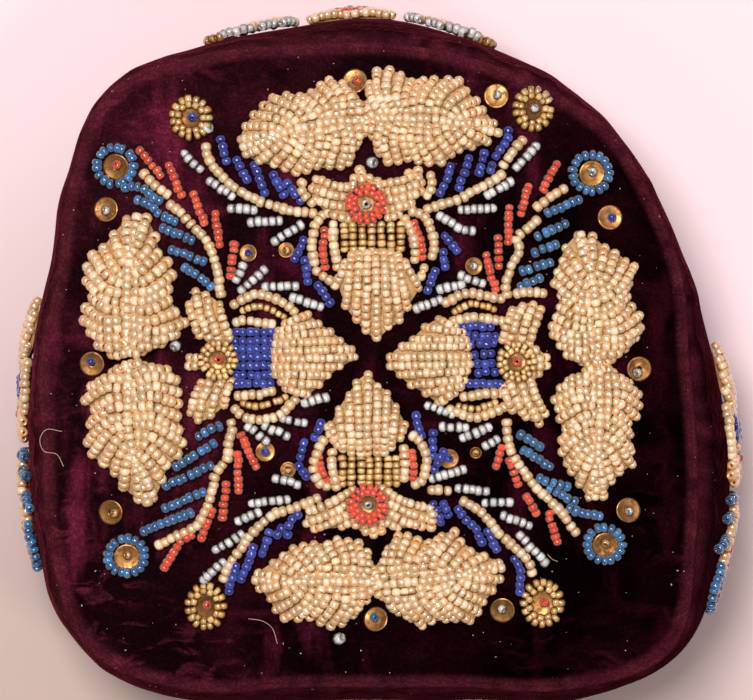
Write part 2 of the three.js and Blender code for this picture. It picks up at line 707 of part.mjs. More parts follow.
function addCrownBeadwork() {
  const roomForDiscs = [
    ...ROSETTES.map((rosette) => discRoom(rosette, ROSETTE_RADIUS)),
    ...SEQUINS.map((sequin) => discRoom(sequin, SEQUIN_RADIUS)),
  ];
  const roomForBuds = FLOWERS.map((flower) => budSolid(flower, GAP));
  const roomForBlocks = FLOWERS.map((flower) => blockSolid(flower, GAP));
  const roomForFlowers = FLOWERS.map((flower) => flowerSolid(flower, GAP));
  const roomForLeaves = LEAVES.map((leaf) => leafSolid(leaf, GAP));
  for (const leaf of LEAVES) {
    addMesh(leaf.name, toGeometry(clearOf(leafSolid(leaf, 0), roomForDiscs)), 'cream');
  }
  FLOWERS.forEach((flower, k) => {
    const { side, slot } = flower;
    const room = [roomForBuds[k], roomForBlocks[k], ...roomForLeaves];
    addMesh(`bud_${side}`, toGeometry(budSolid(flower, 0)), 'cream');
    addMesh(`block_${side}`, toGeometry(blockSolid(flower, 0)), slot);
    addMesh(`flower_${side}`, toGeometry(clearOf(flowerSolid(flower, 0), room)), 'cream');
  });
  const rooms = [...roomForFlowers, ...roomForLeaves, ...roomForBuds, ...roomForDiscs];
  for (const spray of SPRAYS) {
    const stem = spray.stem.map(([x, y]) => [chart(x), chart(y)]);
    addMesh(spray.name, toGeometry(clearOf(spraySolid(onCrown, stem, spray), rooms)), 'cream');
  }
}

function addSequins() {
  for (const { name, x, y, slot } of ROSETTES) {
    layOnCrown(addMesh(name, rosetteGeometry(), slot), chart(x), chart(y));
  }
  for (const { name, x, y } of SEQUINS) {
    layOnCrown(addMesh(name, sequinGeometry(), 'brass'), chart(x), chart(y));
  }
}

function addBandBeadwork() {
  for (const flower of BAND_FLOWERS) {
    const { side } = flower;
    const room = [bandFlowerSolid(flower, GAP)];
    addMesh(`band_flower_${side}`, toGeometry(bandFlowerSolid(flower, 0)), 'cream');
    for (const [hand, sign] of [['a', 1], ['b', -1]]) {
      const spray = clearOf(bandSpraySolid(flower, sign), room);
      addMesh(`band_spray_${side}_${hand}`, toGeometry(spray), 'cream');
    }
  }
}

addVelvet();
addCrownBeadwork();
addSequins();
addBandBeadwork();

const box = new THREE.Box3().setFromObject(cap);
const middle = box.getCenter(new THREE.Vector3());
cap.position.set(-middle.x, -middle.y, -box.min.z);

export default cap;
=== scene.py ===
"""Looks of a velvet smoking cap with raised glass beadwork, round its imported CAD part.

Lengths are millimetres until a mesh is made, which is in metres. Charts give places on the
crown as seen from straight above, in steps of CHART_STEP from the chart's upper left corner.
"""

import math

import bpy
import numpy as np
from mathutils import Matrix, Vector


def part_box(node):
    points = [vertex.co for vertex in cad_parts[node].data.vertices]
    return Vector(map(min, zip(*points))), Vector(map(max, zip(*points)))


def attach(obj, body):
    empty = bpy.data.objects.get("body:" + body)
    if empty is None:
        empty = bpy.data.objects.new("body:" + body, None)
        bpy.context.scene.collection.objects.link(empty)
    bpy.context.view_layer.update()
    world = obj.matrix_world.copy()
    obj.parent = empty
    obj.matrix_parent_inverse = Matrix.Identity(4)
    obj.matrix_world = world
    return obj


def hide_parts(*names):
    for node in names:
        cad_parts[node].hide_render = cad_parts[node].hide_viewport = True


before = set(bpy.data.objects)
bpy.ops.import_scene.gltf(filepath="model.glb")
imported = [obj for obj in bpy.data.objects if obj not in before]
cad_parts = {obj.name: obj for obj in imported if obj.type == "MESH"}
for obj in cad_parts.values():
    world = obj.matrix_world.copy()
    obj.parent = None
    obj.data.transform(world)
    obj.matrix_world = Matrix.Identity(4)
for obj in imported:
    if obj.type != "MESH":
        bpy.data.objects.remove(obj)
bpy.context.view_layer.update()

rng = np.random.default_rng(7)
MM = 0.001
TURN = 2 * math.pi

# The velvet's form, the same as the CAD part's
HALF_WIDTH = 90.0
SEAM_HEIGHT = 70.0
BULGE = 11.0
CROWN_RISE = 6.5
BAND_WALL = 2.5
CROWN_WALL = 2.0
PUCKER_DEPTH = 1.1
GAP = 0.3
CROWN_FLATNESS = 2.6
WIDEST = 0.56

# Every 15 degrees from +X towards +Y: reach as a share of HALF_WIDTH, bulge of BULGE.
OUTLINE = np.array([
    (0.952, 0.75), (0.918, 0.38), (0.915, 0.29), (0.935, 0.27), (0.943, 0.5), (0.946, 0.59),
    (0.972, 0.76), (0.98, 0.62), (1.028, 0.4), (1.094, 0.26), (1.034, 0.29), (0.98, 0.39),
    (0.994, 0.35), (1.04, 0.52), (1.125, 0.49), (1.193, 0.32), (1.122, 0.42), (1.011, 0.49),
    (0.977, 0.48), (1.011, 0.49), (1.122, 0.46), (1.199, 0.39), (1.128, 0.92), (1.034, 0.99),
])
REACH, BULGE_COLUMN = 0, 1
# Height as a share of SEAM_HEIGHT, and the share of the bulge there.
BAND_PROFILE = np.array([
    (0, 0.42), (0.16, 0.72), (0.36, 0.95), (0.56, 1), (0.76, 0.86), (0.92, 0.48), (1, 0),
])
# Direction and half width in degrees, where it begins, and depth as a share of PUCKER_DEPTH.
PUCKERS = [
    (97, 7, 0.8, 0.8), (109, 6, 0.82, 0.9), (131, 7, 0.7, 0.8), (147, 7, 0.74, 0.7),
    (203, 7, 0.74, 0.6), (219, 7, 0.66, 1), (231, 7, 0.68, 0.9), (251, 7, 0.8, 0.7),
    (283, 7, 0.82, 0.7), (308, 7, 0.7, 0.9), (321, 7, 0.68, 0.8), (336, 7, 0.78, 0.6),
]


def unit(vectors):
    """The same directions, each one long."""
    return vectors / np.linalg.norm(vectors, axis=-1, keepdims=True)


def turns(count):
    """Angles spread evenly round the circle."""
    return np.arange(count) / count * TURN


def polar(angle, radius):
    return radius * np.cos(angle), radius * np.sin(angle)


def spline(a, b, c, d, t):
    """A smooth curve from b to c, which comes from a and goes on to d."""
    return b + 0.5 * t * (c - a + t * (2 * a - 5 * b + 4 * c - d + t * (3 * (b - c) + d - a)))


def distances(path):
    """How far along a path each of its points is."""
    return np.concatenate([[0], np.cumsum(np.linalg.norm(np.diff(path, axis=0), axis=1))])


def points_at(path, wanted):
    """Points at distances along a path."""
    return np.stack([np.interp(wanted, distances(path), column) for column in path.T], axis=-1)


def resample(path, shares):
    """Points at shares of a path's length."""
    path = np.asarray(path, float)
    return points_at(path, shares * distances(path)[-1])


def smooth_path(points, count=36):
    """An even, smooth curve through a few points."""
    points = np.asarray(points, float)
    ends = np.vstack([2 * points[0] - points[1], points, 2 * points[-1] - points[-2]])
    t = np.linspace(0, len(points) - 1 - 1e-9, 160)
    row = t.astype(int)
    path = spline(ends[row], ends[row + 1], ends[row + 2], ends[row + 3], (t - row)[:, None])
    return resample(path, np.linspace(0, 1, count))


def around(angle, column):
    """A smooth curve through one column of the outline, all the way round."""
    place = np.asarray(angle) / TURN * len(OUTLINE)
    row = np.floor(place).astype(int)
    corners = (OUTLINE[(row + k) % len(OUTLINE), column] for k in (-1, 0, 1, 2))
    return spline(*corners, place - row)


def seam_radius(angle):
    return around(angle, REACH) * HALF_WIDTH - around(angle, BULGE_COLUMN) * BULGE


def band_radius(angle, up):
    share = np.interp(up, BAND_PROFILE[:, 0], BAND_PROFILE[:, 1])
    return seam_radius(angle) + around(angle, BULGE_COLUMN) * BULGE * share


def pucker_depth(angle, share):
    depth = 0.0
    for middle, spread, start, part in PUCKERS:
        off = np.abs((angle - math.radians(middle) + math.pi) % TURN - math.pi)
        off = off / math.radians(spread)
        deepening = np.clip((share - start) / (1 - start), 0, None)
        depth = depth + np.where(off < 1, part * np.cos(off * math.pi / 2) ** 2 * deepening, 0)
    return PUCKER_DEPTH * depth


def crown_top(x, y):
    """Height of the crown's velvet over the floor at a place."""
    angle = np.arctan2(y, x)
    share = np.hypot(x, y) / seam_radius(angle)
    dome = CROWN_RISE * (1 - np.minimum(1, share) ** CROWN_FLATNESS)
    return SEAM_HEIGHT + GAP + CROWN_WALL + dome - pucker_depth(angle, share)


# How far round the band's widest line each whole degree is.
DEGREES = np.arange(361)
band_line = polar(np.radians(DEGREES), band_radius(np.radians(DEGREES), WIDEST))
band_lengths = distances(np.stack(band_line, axis=-1))

# The part stands over the middle of its own box, so the charts' middle is moved from it.
CAD_TURNS = 48
_, band_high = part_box("side_band")
cad_x, cad_y = polar(turns(CAD_TURNS), band_radius(turns(CAD_TURNS), WIDEST))
SHIFT = np.array([band_high.x / MM - cad_x.max(), band_high.y / MM - cad_y.max(), 0])

# Places
CHART_STEP = 0.25
CHART_MIDDLE = (380.5, 358.5)
# How far to either side a slope is taken, in radians and in shares of the height.
NEAR = 0.02


def on_crown(u, v, height):
    """Chart places, and heights over the velvet, as points."""
    x = (np.asarray(u, float) - CHART_MIDDLE[0]) * CHART_STEP
    y = (CHART_MIDDLE[1] - np.asarray(v, float)) * CHART_STEP
    return np.stack([x, y, crown_top(x, y) + height], axis=-1)


def band_place(direction, middle_height, heading):
    """The same for the band: u runs along the heading and v to its left, in chart steps."""
    c, s = math.cos(heading), math.sin(heading)
    start = np.interp(direction % 360, DEGREES, band_lengths)

    def place(u, v, height):
        u, v = np.asarray(u, float) * CHART_STEP, np.asarray(v, float) * CHART_STEP
        up = middle_height + u * s + v * c
        wanted = (start + (u * c - v * s)) % band_lengths[-1]
        angle = np.radians(np.interp(wanted, band_lengths, DEGREES))
        share = up / SEAM_HEIGHT
        ahead = np.array(polar(angle + NEAR, band_radius(angle + NEAR, share)))
        behind = np.array(polar(angle - NEAR, band_radius(angle - NEAR, share)))
        dx, dy = ahead - behind
        long = np.hypot(dx, dy)
        slope = (band_radius(angle, share + NEAR) - band_radius(angle, share - NEAR)) / (
            2 * NEAR * SEAM_HEIGHT)
        out = np.asarray(height) / np.hypot(1, slope)
        x, y = polar(angle, band_radius(angle, share))
        return np.stack([x + out * dy / long, y - out * dx / long, up - out * slope], axis=-1)

    return place


# Meshes
def build_mesh(name, points, faces, materials, tone=None, kinds=None):
    """points (N, 3) in millimetres, faces (M, 4), tone (N, 4), kinds (M,)."""
    mesh = bpy.data.meshes.new(name)
    points = (np.asarray(points) + SHIFT) * MM
    faces = np.asarray(faces, np.int32)
    count, corners = faces.shape
    mesh.vertices.add(len(points))
    mesh.vertices.foreach_set("co", points.astype(np.float32).ravel())
    mesh.loops.add(count * corners)
    mesh.loops.foreach_set("vertex_index", faces.ravel())
    mesh.polygons.add(count)
    mesh.polygons.foreach_set("loop_start", np.arange(0, count * corners, corners, dtype=np.int32))
    mesh.polygons.foreach_set("use_smooth", np.full(count, True))
    if kinds is not None:
        mesh.polygons.foreach_set("material_index", np.asarray(kinds, np.int32))
    mesh.update(calc_edges=True)
    if tone is not None:
        layer = mesh.attributes.new("tone", "FLOAT_COLOR", "POINT")
        layer.data.foreach_set("color", np.asarray(tone, np.float32).ravel())
    for material in materials:
        mesh.materials.append(material)
    obj = bpy.data.objects.new(name, mesh)
    bpy.context.scene.collection.objects.link(obj)
    return obj


def grid_faces(rows, columns, tube=False, loop=False):
    """Quads over a grid of points laid out row by row. A tube's rows are closed, and in a loop
    the last row joins the first."""
    r, c = np.meshgrid(np.arange(rows if loop else rows - 1),
                       np.arange(columns if tube else columns - 1), indexing="ij")
    r2, c2 = (r + 1) % rows, (c + 1) % columns
    return np.stack([r * columns + c, r * columns + c2, r2 * columns + c2, r2 * columns + c],
                    axis=-1).reshape(-1, 4)


def join(name, parts, material):
    """One mesh from the points and faces of several."""
    points, faces, start = [], [], 0
    for p, f in parts:
        points.append(p)
        faces.append(f + start)
        start += len(p)
    return build_mesh(name, np.concatenate(points), np.concatenate(faces), [material])


# Sockets of a colour mix: its factor, its two colours and its result.
MIX_FACTOR, MIX_A, MIX_B, MIX_RESULT = 0, 6, 7, 2


class Look:
    """A material, with its shader and the nodes before it."""

    def __init__(self, name):
        self.material = bpy.data.materials.new(name)
        self.material.use_nodes = True
        self.tree = self.material.node_tree
        self.shader = self.tree.nodes["Principled BSDF"]

    def feed(self, node, inputs):
        """Links the sockets among the values to a node's inputs, and sets the others there."""
        for key, value in inputs.items():
            place = node.inputs[key]
            if isinstance(value, bpy.types.NodeSocket):
                self.tree.links.new(value, place)
            else:
                place.default_value = (*value, 1) if place.type == "RGBA" else value

    def add(self, kind, inputs=None, **settings):
        node = self.tree.nodes.new("ShaderNode" + kind)
        for key, value in settings.items():
            setattr(node, key, value)
        self.feed(node, inputs or {})
        return node

    def mix(self, factor, a, b, blend="MIX"):
        node = self.add("Mix", {MIX_FACTOR: factor, MIX_A: a, MIX_B: b}, data_type="RGBA",
                        blend_type=blend)
        return node.outputs[MIX_RESULT]

    def remap(self, value, low, high, to_low=0.0, to_high=1.0):
        node = self.add("MapRange", {"Value": value, "From Min": low, "From Max": high,
                                     "To Min": to_low, "To Max": to_high},
                        interpolation_type="SMOOTHSTEP")
        return node.outputs["Result"]

    def shaded(self, colour, bright):
        """A colour times how bright it is."""
        grey = self.add("CombineColor", {channel: bright for channel in ("Red", "Green", "Blue")})
        return self.mix(1.0, colour, grey.outputs["Color"], "MULTIPLY")

    def slant(self, along, factor, across):
        """One value times a factor, plus another."""
        node = self.add("Math", {0: along, 1: factor, 2: across}, operation="MULTIPLY_ADD")
        return node.outputs["Value"]

    def tone(self):
        """What the mesh says of each point, in three channels."""
        tone = self.add("Attribute", attribute_name="tone")
        return self.add("SeparateColor", {"Color": tone.outputs["Color"]}).outputs

    def spot(self):
        return self.add("TexCoord").outputs["Object"]

    def bumps(self, layers):
        """Reliefs on top of each other: height, strength and depth in metres of each."""
        below = {}
        for height, strength, depth in layers:
            node = self.add("Bump", {"Height": height, "Strength": strength, "Distance": depth,
                                     **below})
            below = {"Normal": node.outputs["Normal"]}
        self.feed(self.shader, below)


# How far a bead's surface turns away where its clear outline begins, and where it is full.
RIM = (0.22, 0.45)


def bead_material(name, core, end_shade, pale, rim_tint_and_light, rough, seen, pale_part=0.25, glow=0.0,
                  spread=0.2, coat=1.5):
    """Glass. The core shows in the middle of a bead, with a painted highlight in pale where it faces the
    camera, and pale in some whole beads. Its ends are painted shade, darker and warmer, where beads
    meet, and its outline, which is clearer, gets a lighter colour: partly the glass's tint, partly
    painted light of reflection and of light through the glass. seen is how clear the middle and the
    outline are, and spread tells the beads of a string apart."""
    look = Look(name)
    tone = look.tone()
    facing = look.add("LayerWeight", {"Blend": 0.5}).outputs["Facing"]
    chosen = look.remap(tone["Green"], 1 - pale_part - 0.12, 1 - pale_part + 0.12)
    # Painted highlight: the pale colour where the bead faces the camera.
    front = look.remap(facing, 0.01, RIM[0], 0.7, 0)
    middle = look.mix(chosen, look.mix(front, core, pale), pale)
    # Painted shade: each bead's ends are darker and warmer, where beads meet.
    colour = look.mix(look.remap(tone["Red"], 0.1, 0.8), end_shade, middle)
    # The outline's colour is partly the glass's tint and partly painted light: reflection and light
    # through the glass.
    colour = look.mix(look.remap(facing, *RIM), colour, rim_tint_and_light)
    bright = look.remap(tone["Blue"], 0, 1, 1 - spread, 1 + 0.4 * spread)
    look.feed(look.shader, {
        "Base Color": look.shaded(colour, bright), "Roughness": rough, "IOR": 1.45,
        "Subsurface Weight": glow, "Subsurface Radius": (1.0, 0.7, 0.45),
        "Subsurface Scale": 1.2 * MM, "Coat Weight": 1.0, "Coat Roughness": 0.04,
        "Coat IOR": coat,
    })
    if seen[1]:
        look.feed(look.shader, {"Transmission Weight": look.remap(facing, *RIM, *seen)})
    return look.material


# Colours of the core, the painted shade at the ends, the pale parts and painted highlight, and the
# outline's tint and painted light, roughness, and clearness.
GLASS_LOOKS = {
    "cream": ((0.6, 0.325, 0.13), (0.85, 0.38, 0.1), (0.86, 0.63, 0.4), (0.74, 0.46, 0.23),
              0.08, (0.0, 0.0), {"glow": 0.3, "spread": 0.18, "coat": 2.4}),
    "light_blue": ((0.004, 0.06, 0.2), (0.006, 0.03, 0.1), (0.02, 0.16, 0.42),
                   (0.5, 0.55, 0.6), 0.05, (0.0, 0.75), {}),
    "coral": ((0.64, 0.024, 0.003), (0.42, 0.014, 0.003), (0.88, 0.06, 0.015),
              (0.8, 0.42, 0.3), 0.05, (0.0, 0.65), {}),
    "cobalt": ((0.01, 0.016, 0.19), (0.007, 0.01, 0.1), (0.03, 0.045, 0.34),
               (0.12, 0.15, 0.45), 0.12, (0.0, 0.3), {}),
    "clear": ((0.86, 0.83, 0.79), (0.4, 0.37, 0.33), (1.0, 0.98, 0.95), (0.98, 0.97, 0.95),
              0.04, (0.45, 0.95), {"pale_part": 0.4, "coat": 1.9}),
    "amber": ((0.6, 0.27, 0.05), (0.3, 0.12, 0.02), (0.88, 0.55, 0.2), (0.85, 0.47, 0.14),
              0.05, (0.35, 0.9), {"coat": 1.65}),
    "gold": ((0.6, 0.29, 0.06), (0.36, 0.15, 0.025), (0.88, 0.56, 0.22), (0.78, 0.44, 0.15),
             0.05, (0.2, 0.8), {"coat": 1.75}),
}
GLASS = {kind: bead_material(kind + "_glass", *look, **more)
         for kind, (*look, more) in GLASS_LOOKS.items()}
KINDS = list(GLASS)
# Width across the hole and pitch along the string, in millimetres.
BEAD_SIZE = {
    "cream": (2.75, 1.84), "light_blue": (2.7, 1.68), "coral": (2.45, 1.56),
    "cobalt": (2.5, 1.76), "clear": (2.65, 1.75), "amber": (2.6, 1.8), "gold": (2.15, 1.55),
}
# A bead's section, turned round its string: out as shares of half its width, and along as
# shares of its length.
HOLE = 0.34
BEAD_PROFILE = np.array([
    (HOLE, -0.36), (0.68, -0.5), (0.93, -0.3), (1.0, 0), (0.93, 0.3), (0.68, 0.5), (HOLE, 0.36),
])
# Painted shade along a bead, row by row: 1 in the lit middle, 0 at the shaded ends.
BEAD_ROW_LIT = np.array([0.0, 0.25, 0.75, 1.0, 0.75, 0.25, 0.0])
BEAD_SIDES = 8
# A bead's length: on a string and in a ring as a share of its pitch, alone as one of its width.
STRUNG_LENGTH, RING_LENGTH, SINGLE_LENGTH = 1.09, 0.98, 0.68
# How high the middle of a bead stands over the velvet, as a share of its width.
STRING_FOOT, RING_FOOT, SINGLE_FOOT = 0.46, 0.5, 0.4
# What chance adds: to sizes and places along a string as shares, to the place in millimetres,
# to the hole's direction, and to the angle and the radius of a ring's beads.
WIDTH_CHANCE, LENGTH_CHANCE, PITCH_CHANCE = 0.06, 0.07, 0.035
PLACE_CHANCE, AXIS_CHANCE = 0.1, 0.05
RING_ANGLE_CHANCE, RING_RADIUS_CHANCE = 0.03, 0.02
# How far to either side of a bead its string's direction is taken, in millimetres.
AXIS_REACH = 0.4
# How long side by side strings are, in chart steps, where they rise in full.
LONG_FILL, LONG_HATCH = 34, 30
# Every how many steps of a string's path the padding has a point, and its least height.
PAD_STEP, PAD_FOOT = 5, 0.25


class Beads:
    """The beads of one piece, string by string, and the padding below them. The padding lies
    sink of a bead's width under the strings."""

    def __init__(self, sink=0.5):
        self.sink = sink
        self.rows = []
        self.pads = []

    def put(self, kind, centres, axes, width, length):
        count = len(centres)
        self.rows.append((
            np.full(count, KINDS.index(kind)), centres, axes,
            width * rng.normal(1, WIDTH_CHANCE, count),
            length * rng.normal(1, LENGTH_CHANCE, count),
        ))

    def string(self, kind, place, points, foot=None, rise=0.5, mid=0.0, width=None, loose=0.35):
        """One string. It stands foot over the velvet at its ends and rises between them; mid
        lifts its beginning, where it springs from a midrib."""
        bead_width, pitch = BEAD_SIZE[kind]
        if width is not None:
            pitch = pitch * (0.5 + 0.5 * width / bead_width)
            bead_width = width
        foot = bead_width * STRING_FOOT if foot is None else foot
        path = smooth_path(points)
        t = np.linspace(0, 1, len(path))
        path = path + rng.normal(0, loose, 2) + t[:, None] * rng.normal(0, loose, 2)
        arch = np.sin(math.pi * t)
        height = foot + mid * (1 - t) ** 1.5 + rise * arch ** 0.7
        height = height + rng.normal(0, 0.1 * rise) * arch
        spots = place(path[:, 0], path[:, 1], height)
        long = distances(spots)[-1]
        count = max(1, round(long / pitch))
        where = (np.arange(count) + 0.5) * long / count
        where = where + rng.normal(0, PITCH_CHANCE * pitch, count)
        axes = points_at(spots, where + AXIS_REACH) - points_at(spots, where - AXIS_REACH)
        centres = points_at(spots, where) + rng.normal(0, PLACE_CHANCE, (count, 3))
        self.put(kind, centres, axes, bead_width, min(pitch, long / count) * STRUNG_LENGTH)
        return path, height

    def ring(self, kind, place, middle, radius, foot=None, count=None, squash=1.0, width=None):
        bead_width, pitch = BEAD_SIZE[kind]
        bead_width = width or bead_width
        foot = bead_width * RING_FOOT if foot is None else foot
        count = count or round(TURN * radius * CHART_STEP / pitch)
        a = turns(count) + rng.normal(0, RING_ANGLE_CHANCE, count)
        r = radius * rng.normal(1, RING_RADIUS_CHANCE, count)
        u = middle[0] + r * np.cos(a)
        v = middle[1] + r * np.sin(a) * squash
        spots = place(u, v, foot)
        ahead = place(u - 0.5 * np.sin(a), v + 0.5 * np.cos(a) * squash, foot)
        self.put(kind, spots, ahead - spots, bead_width, TURN * radius * CHART_STEP / count * RING_LENGTH)

    def single(self, kind, place, u, v, height=None, lean=1.2, width=None):
        """A bead on its own, its hole up or leaning."""
        bead_width = width or BEAD_SIZE[kind][0]
        height = bead_width * SINGLE_FOOT if height is None else height
        a = rng.uniform(0, TURN)
        aside = lean / CHART_STEP
        spot = place([u], [v], height)
        top = place([u + aside * math.cos(a)], [v + aside * math.sin(a)], height + 1)
        self.put(kind, spot, top - spot, bead_width, bead_width * SINGLE_LENGTH)

    def lay(self, kind, place, runs, width, rise, long, mid=0.0, loose=0.3):
        """Strings side by side, with padding below. Each has a start, a middle and an end, and
        rises in full if it is long."""
        sheet = []
        for points in runs:
            far = np.linalg.norm(points[2] - points[0])
            path, height = self.string(kind, place, points, rise=rise * min(1, far / long),
                                       mid=mid, width=width, loose=loose)
            u, v = path[::PAD_STEP].T
            under = np.maximum(PAD_FOOT, height[::PAD_STEP] - self.sink * width)
            sheet.append(place(u, v, under))
        if len(sheet) > 1:
            self.pads.append(np.array(sheet))

    def fill(self, kind, place, inner, outer, width, rise, mid=0.0, bow=0.0, lead=(0.0, 1.0),
             reach=(0.0, 1.0), squeeze=1.0, rows=None):
        """Strings side by side from one edge, such as a midrib, to another. lead and reach are
        the stretches of the two edges that they take up, and bow bends them to the base."""
        chart_width = width / CHART_STEP * squeeze
        inner = smooth_path(inner, 60)

        def ends(shares):
            return (resample(inner, lead[0] + (lead[1] - lead[0]) * shares),
                    resample(outer, reach[0] + (reach[1] - reach[0]) * shares))

        fine = np.linspace(0, 1, 50)
        a, b = ends(fine)
        run, step = unit(b - a)[1:], np.diff((a + b) / 2, axis=0)
        across = np.abs(step[:, 0] * run[:, 1] - step[:, 1] * run[:, 0])
        gone = np.concatenate([[0], np.cumsum(across)])
        count = rows or max(2, round(gone[-1] / chart_width) + 1)
        tip = unit(inner[-1] - inner[0])
        runs = []
        for start, end in zip(*ends(np.interp(np.linspace(0, gone[-1], count), gone, fine))):
            far = np.linalg.norm(end - start)
            if far >= 0.6 * chart_width:
                runs.append((start, (start + end) / 2 - tip * bow * far, end))
        self.lay(kind, place, runs, width, rise, LONG_FILL, mid, loose=0.5)

    def hatch(self, kind, place, polygon, heading, width, rise, bow=0.0, squeeze=1.0):
        """Parallel strings over a closed shape, along a heading in degrees."""
        a = math.radians(heading)
        run, side = np.array([math.cos(a), math.sin(a)]), np.array([-math.sin(a), math.cos(a)])
        along, across = np.asarray(polygon, float) @ run, np.asarray(polygon, float) @ side
        next_along, next_across = np.roll(along, -1), np.roll(across, -1)
        step = width / CHART_STEP * squeeze
        low, high = across.min(), across.max()
        count = max(1, round((high - low) / step))
        runs = []
        for i in range(count):
            level = low + (i + 0.5) * (high - low) / count
            cut = (across - level) * (next_across - level) < 0
            t = (level - across[cut]) / (next_across[cut] - across[cut])
            cuts = along[cut] + t * (next_along[cut] - along[cut])
            if len(cuts) > 1 and np.ptp(cuts) >= 0.5 * step:
                start, end = run * cuts.min() + side * level, run * cuts.max() + side * level
                bent = (start + end) / 2 + side * bow * np.linalg.norm(end - start)
                runs.append((start, bent, end))
        self.lay(kind, place, runs, width, rise, LONG_HATCH)

    def make(self, name):
        kinds, centres, axes, widths, lengths = (np.concatenate(part) for part in zip(*self.rows))
        count, rows = len(centres), len(BEAD_PROFILE)
        axes = unit(unit(axes) + rng.normal(0, AXIS_CHANCE, axes.shape))
        other = np.where(np.abs(axes[:, 2:3]) < 0.8, [[0, 0, 1.0]], [[1.0, 0, 0]])
        across = unit(np.cross(axes, other))
        upward = np.cross(axes, across)
        roll = (rng.uniform(0, TURN, count)[:, None] + turns(BEAD_SIDES))[..., None]
        circle = np.cos(roll) * across[:, None] + np.sin(roll) * upward[:, None]
        radius = widths[:, None] / 2 * BEAD_PROFILE[:, 0]
        reach = lengths[:, None] * BEAD_PROFILE[:, 1]
        points = (centres[:, None, None] + radius[:, :, None, None] * circle[:, None] +
                  (reach[:, :, None] * axes[:, None])[:, :, None])
        template = grid_faces(rows, BEAD_SIDES, tube=True, loop=True)
        faces = template + (np.arange(count) * rows * BEAD_SIDES)[:, None, None]
        tone = np.ones((count, rows, BEAD_SIDES, 4), np.float32)
        tone[..., 0] = BEAD_ROW_LIT[:, None]
        tone[..., 1] = rng.uniform(0, 1, count)[:, None, None]
        tone[..., 2] = rng.uniform(0, 1, count)[:, None, None]
        used = sorted(set(kinds))
        return build_mesh(name, points.reshape(-1, 3), faces.reshape(-1, 4),
                          [GLASS[KINDS[k]] for k in used], tone.reshape(-1, 4),
                          np.repeat([used.index(k) for k in kinds], len(template)))


# Charts of the crown's beadwork
# A leaf: bead width, midrib from base to tip, and its two edges from base to tip.
LEAVES = {
    "leaf_top_left": (
        2.6, [(366, 120), (330, 122), (290, 131), (240, 148)],
        [[(366, 112), (362, 102), (352, 94), (340, 82), (328, 78), (322, 80), (315, 88), (303, 95),
          (290, 93), (275, 95), (265, 97), (262, 107), (252, 115), (248, 122), (242, 130), (238, 142)],
         [(366, 128), (362, 138), (354, 148), (351, 160), (342, 168), (328, 166), (312, 168),
          (298, 174), (285, 169), (268, 164), (256, 160), (244, 155)]]),
    "leaf_top_right": (
        2.6, [(374, 118), (430, 119), (470, 126), (502, 134)],
        [[(374, 110), (368, 95), (374, 72), (386, 66), (398, 70), (408, 77), (422, 79), (440, 78),
          (460, 76), (470, 92), (478, 101), (486, 112), (497, 124)],
         [(374, 128), (376, 146), (384, 158), (394, 166), (404, 159), (415, 160), (430, 165),
          (446, 162), (459, 150), (474, 147), (490, 141)]]),
    "leaf_left_upper": (
        3.05, [(126, 352), (126, 300), (130, 250), (138, 214)],
        [[(118, 356), (102, 350), (90, 340), (84, 328), (81, 316), (85, 305), (91, 298), (86, 285),
          (83, 270), (84, 258), (95, 252), (106, 242), (112, 234), (122, 226), (128, 216)],
         [(134, 354), (156, 346), (178, 334), (186, 323), (178, 312), (168, 306), (171, 293),
          (167, 282), (174, 270), (172, 262), (161, 255), (155, 242), (153, 230), (146, 216)]]),
    "leaf_left_lower": (
        3.0, [(128, 366), (128, 430), (138, 470), (148, 506)],
        [[(120, 372), (104, 378), (90, 388), (82, 402), (94, 411), (90, 425), (86, 443), (88, 455),
          (97, 462), (110, 466), (114, 478), (120, 487), (130, 494), (140, 502)],
         [(136, 368), (152, 366), (166, 368), (180, 382), (180, 400), (177, 412), (178, 425),
          (184, 448), (177, 458), (168, 466), (164, 478), (157, 490), (153, 502)]]),
    "leaf_bottom_left": (
        2.6, [(372, 583), (330, 582), (290, 582), (252, 580)],
        [[(374, 575), (368, 552), (358, 542), (346, 540), (338, 538), (328, 544), (308, 544),
          (292, 549), (279, 558), (266, 568), (256, 574)],
         [(368, 596), (356, 612), (344, 626), (333, 630), (322, 624), (310, 621), (300, 620),
          (289, 623), (279, 618), (275, 606), (266, 596), (256, 588)]]),
    "leaf_bottom_right": (
        2.6, [(376, 585), (410, 582), (445, 578), (504, 568)],
        [[(380, 574), (383, 560), (392, 544), (400, 533), (412, 536), (426, 544), (440, 537),
          (452, 530), (460, 533), (463, 546), (475, 552), (488, 557), (502, 564)],
         [(380, 592), (388, 602), (397, 612), (411, 622), (422, 629), (434, 621), (442, 622),
          (456, 620), (470, 625), (479, 616), (486, 602), (496, 588), (502, 578)]]),
    "leaf_right_upper": (
        2.6, [(598, 362), (598, 320), (590, 270), (580, 232)],
        [[(588, 364), (572, 358), (562, 351), (556, 341), (550, 332), (552, 322), (558, 309),
          (562, 297), (552, 286), (555, 276), (558, 266), (563, 255), (568, 244), (577, 232)],
         [(606, 362), (622, 353), (634, 344), (644, 324), (636, 311), (630, 300), (628, 288),
          (632, 278), (636, 266), (622, 257), (611, 249), (600, 244), (592, 234)]]),
    "leaf_right_lower": (
        2.6, [(600, 370), (600, 420), (598, 460), (595, 502)],
        [[(592, 370), (578, 376), (566, 382), (556, 392), (552, 401), (558, 411), (560, 424),
          (567, 432), (558, 446), (562, 456), (570, 471), (578, 482), (583, 492), (590, 500)],
         [(608, 371), (620, 376), (632, 385), (644, 400), (640, 414), (630, 422), (632, 434),
          (631, 450), (637, 462), (628, 470), (614, 477), (611, 490), (602, 500)]]),
}

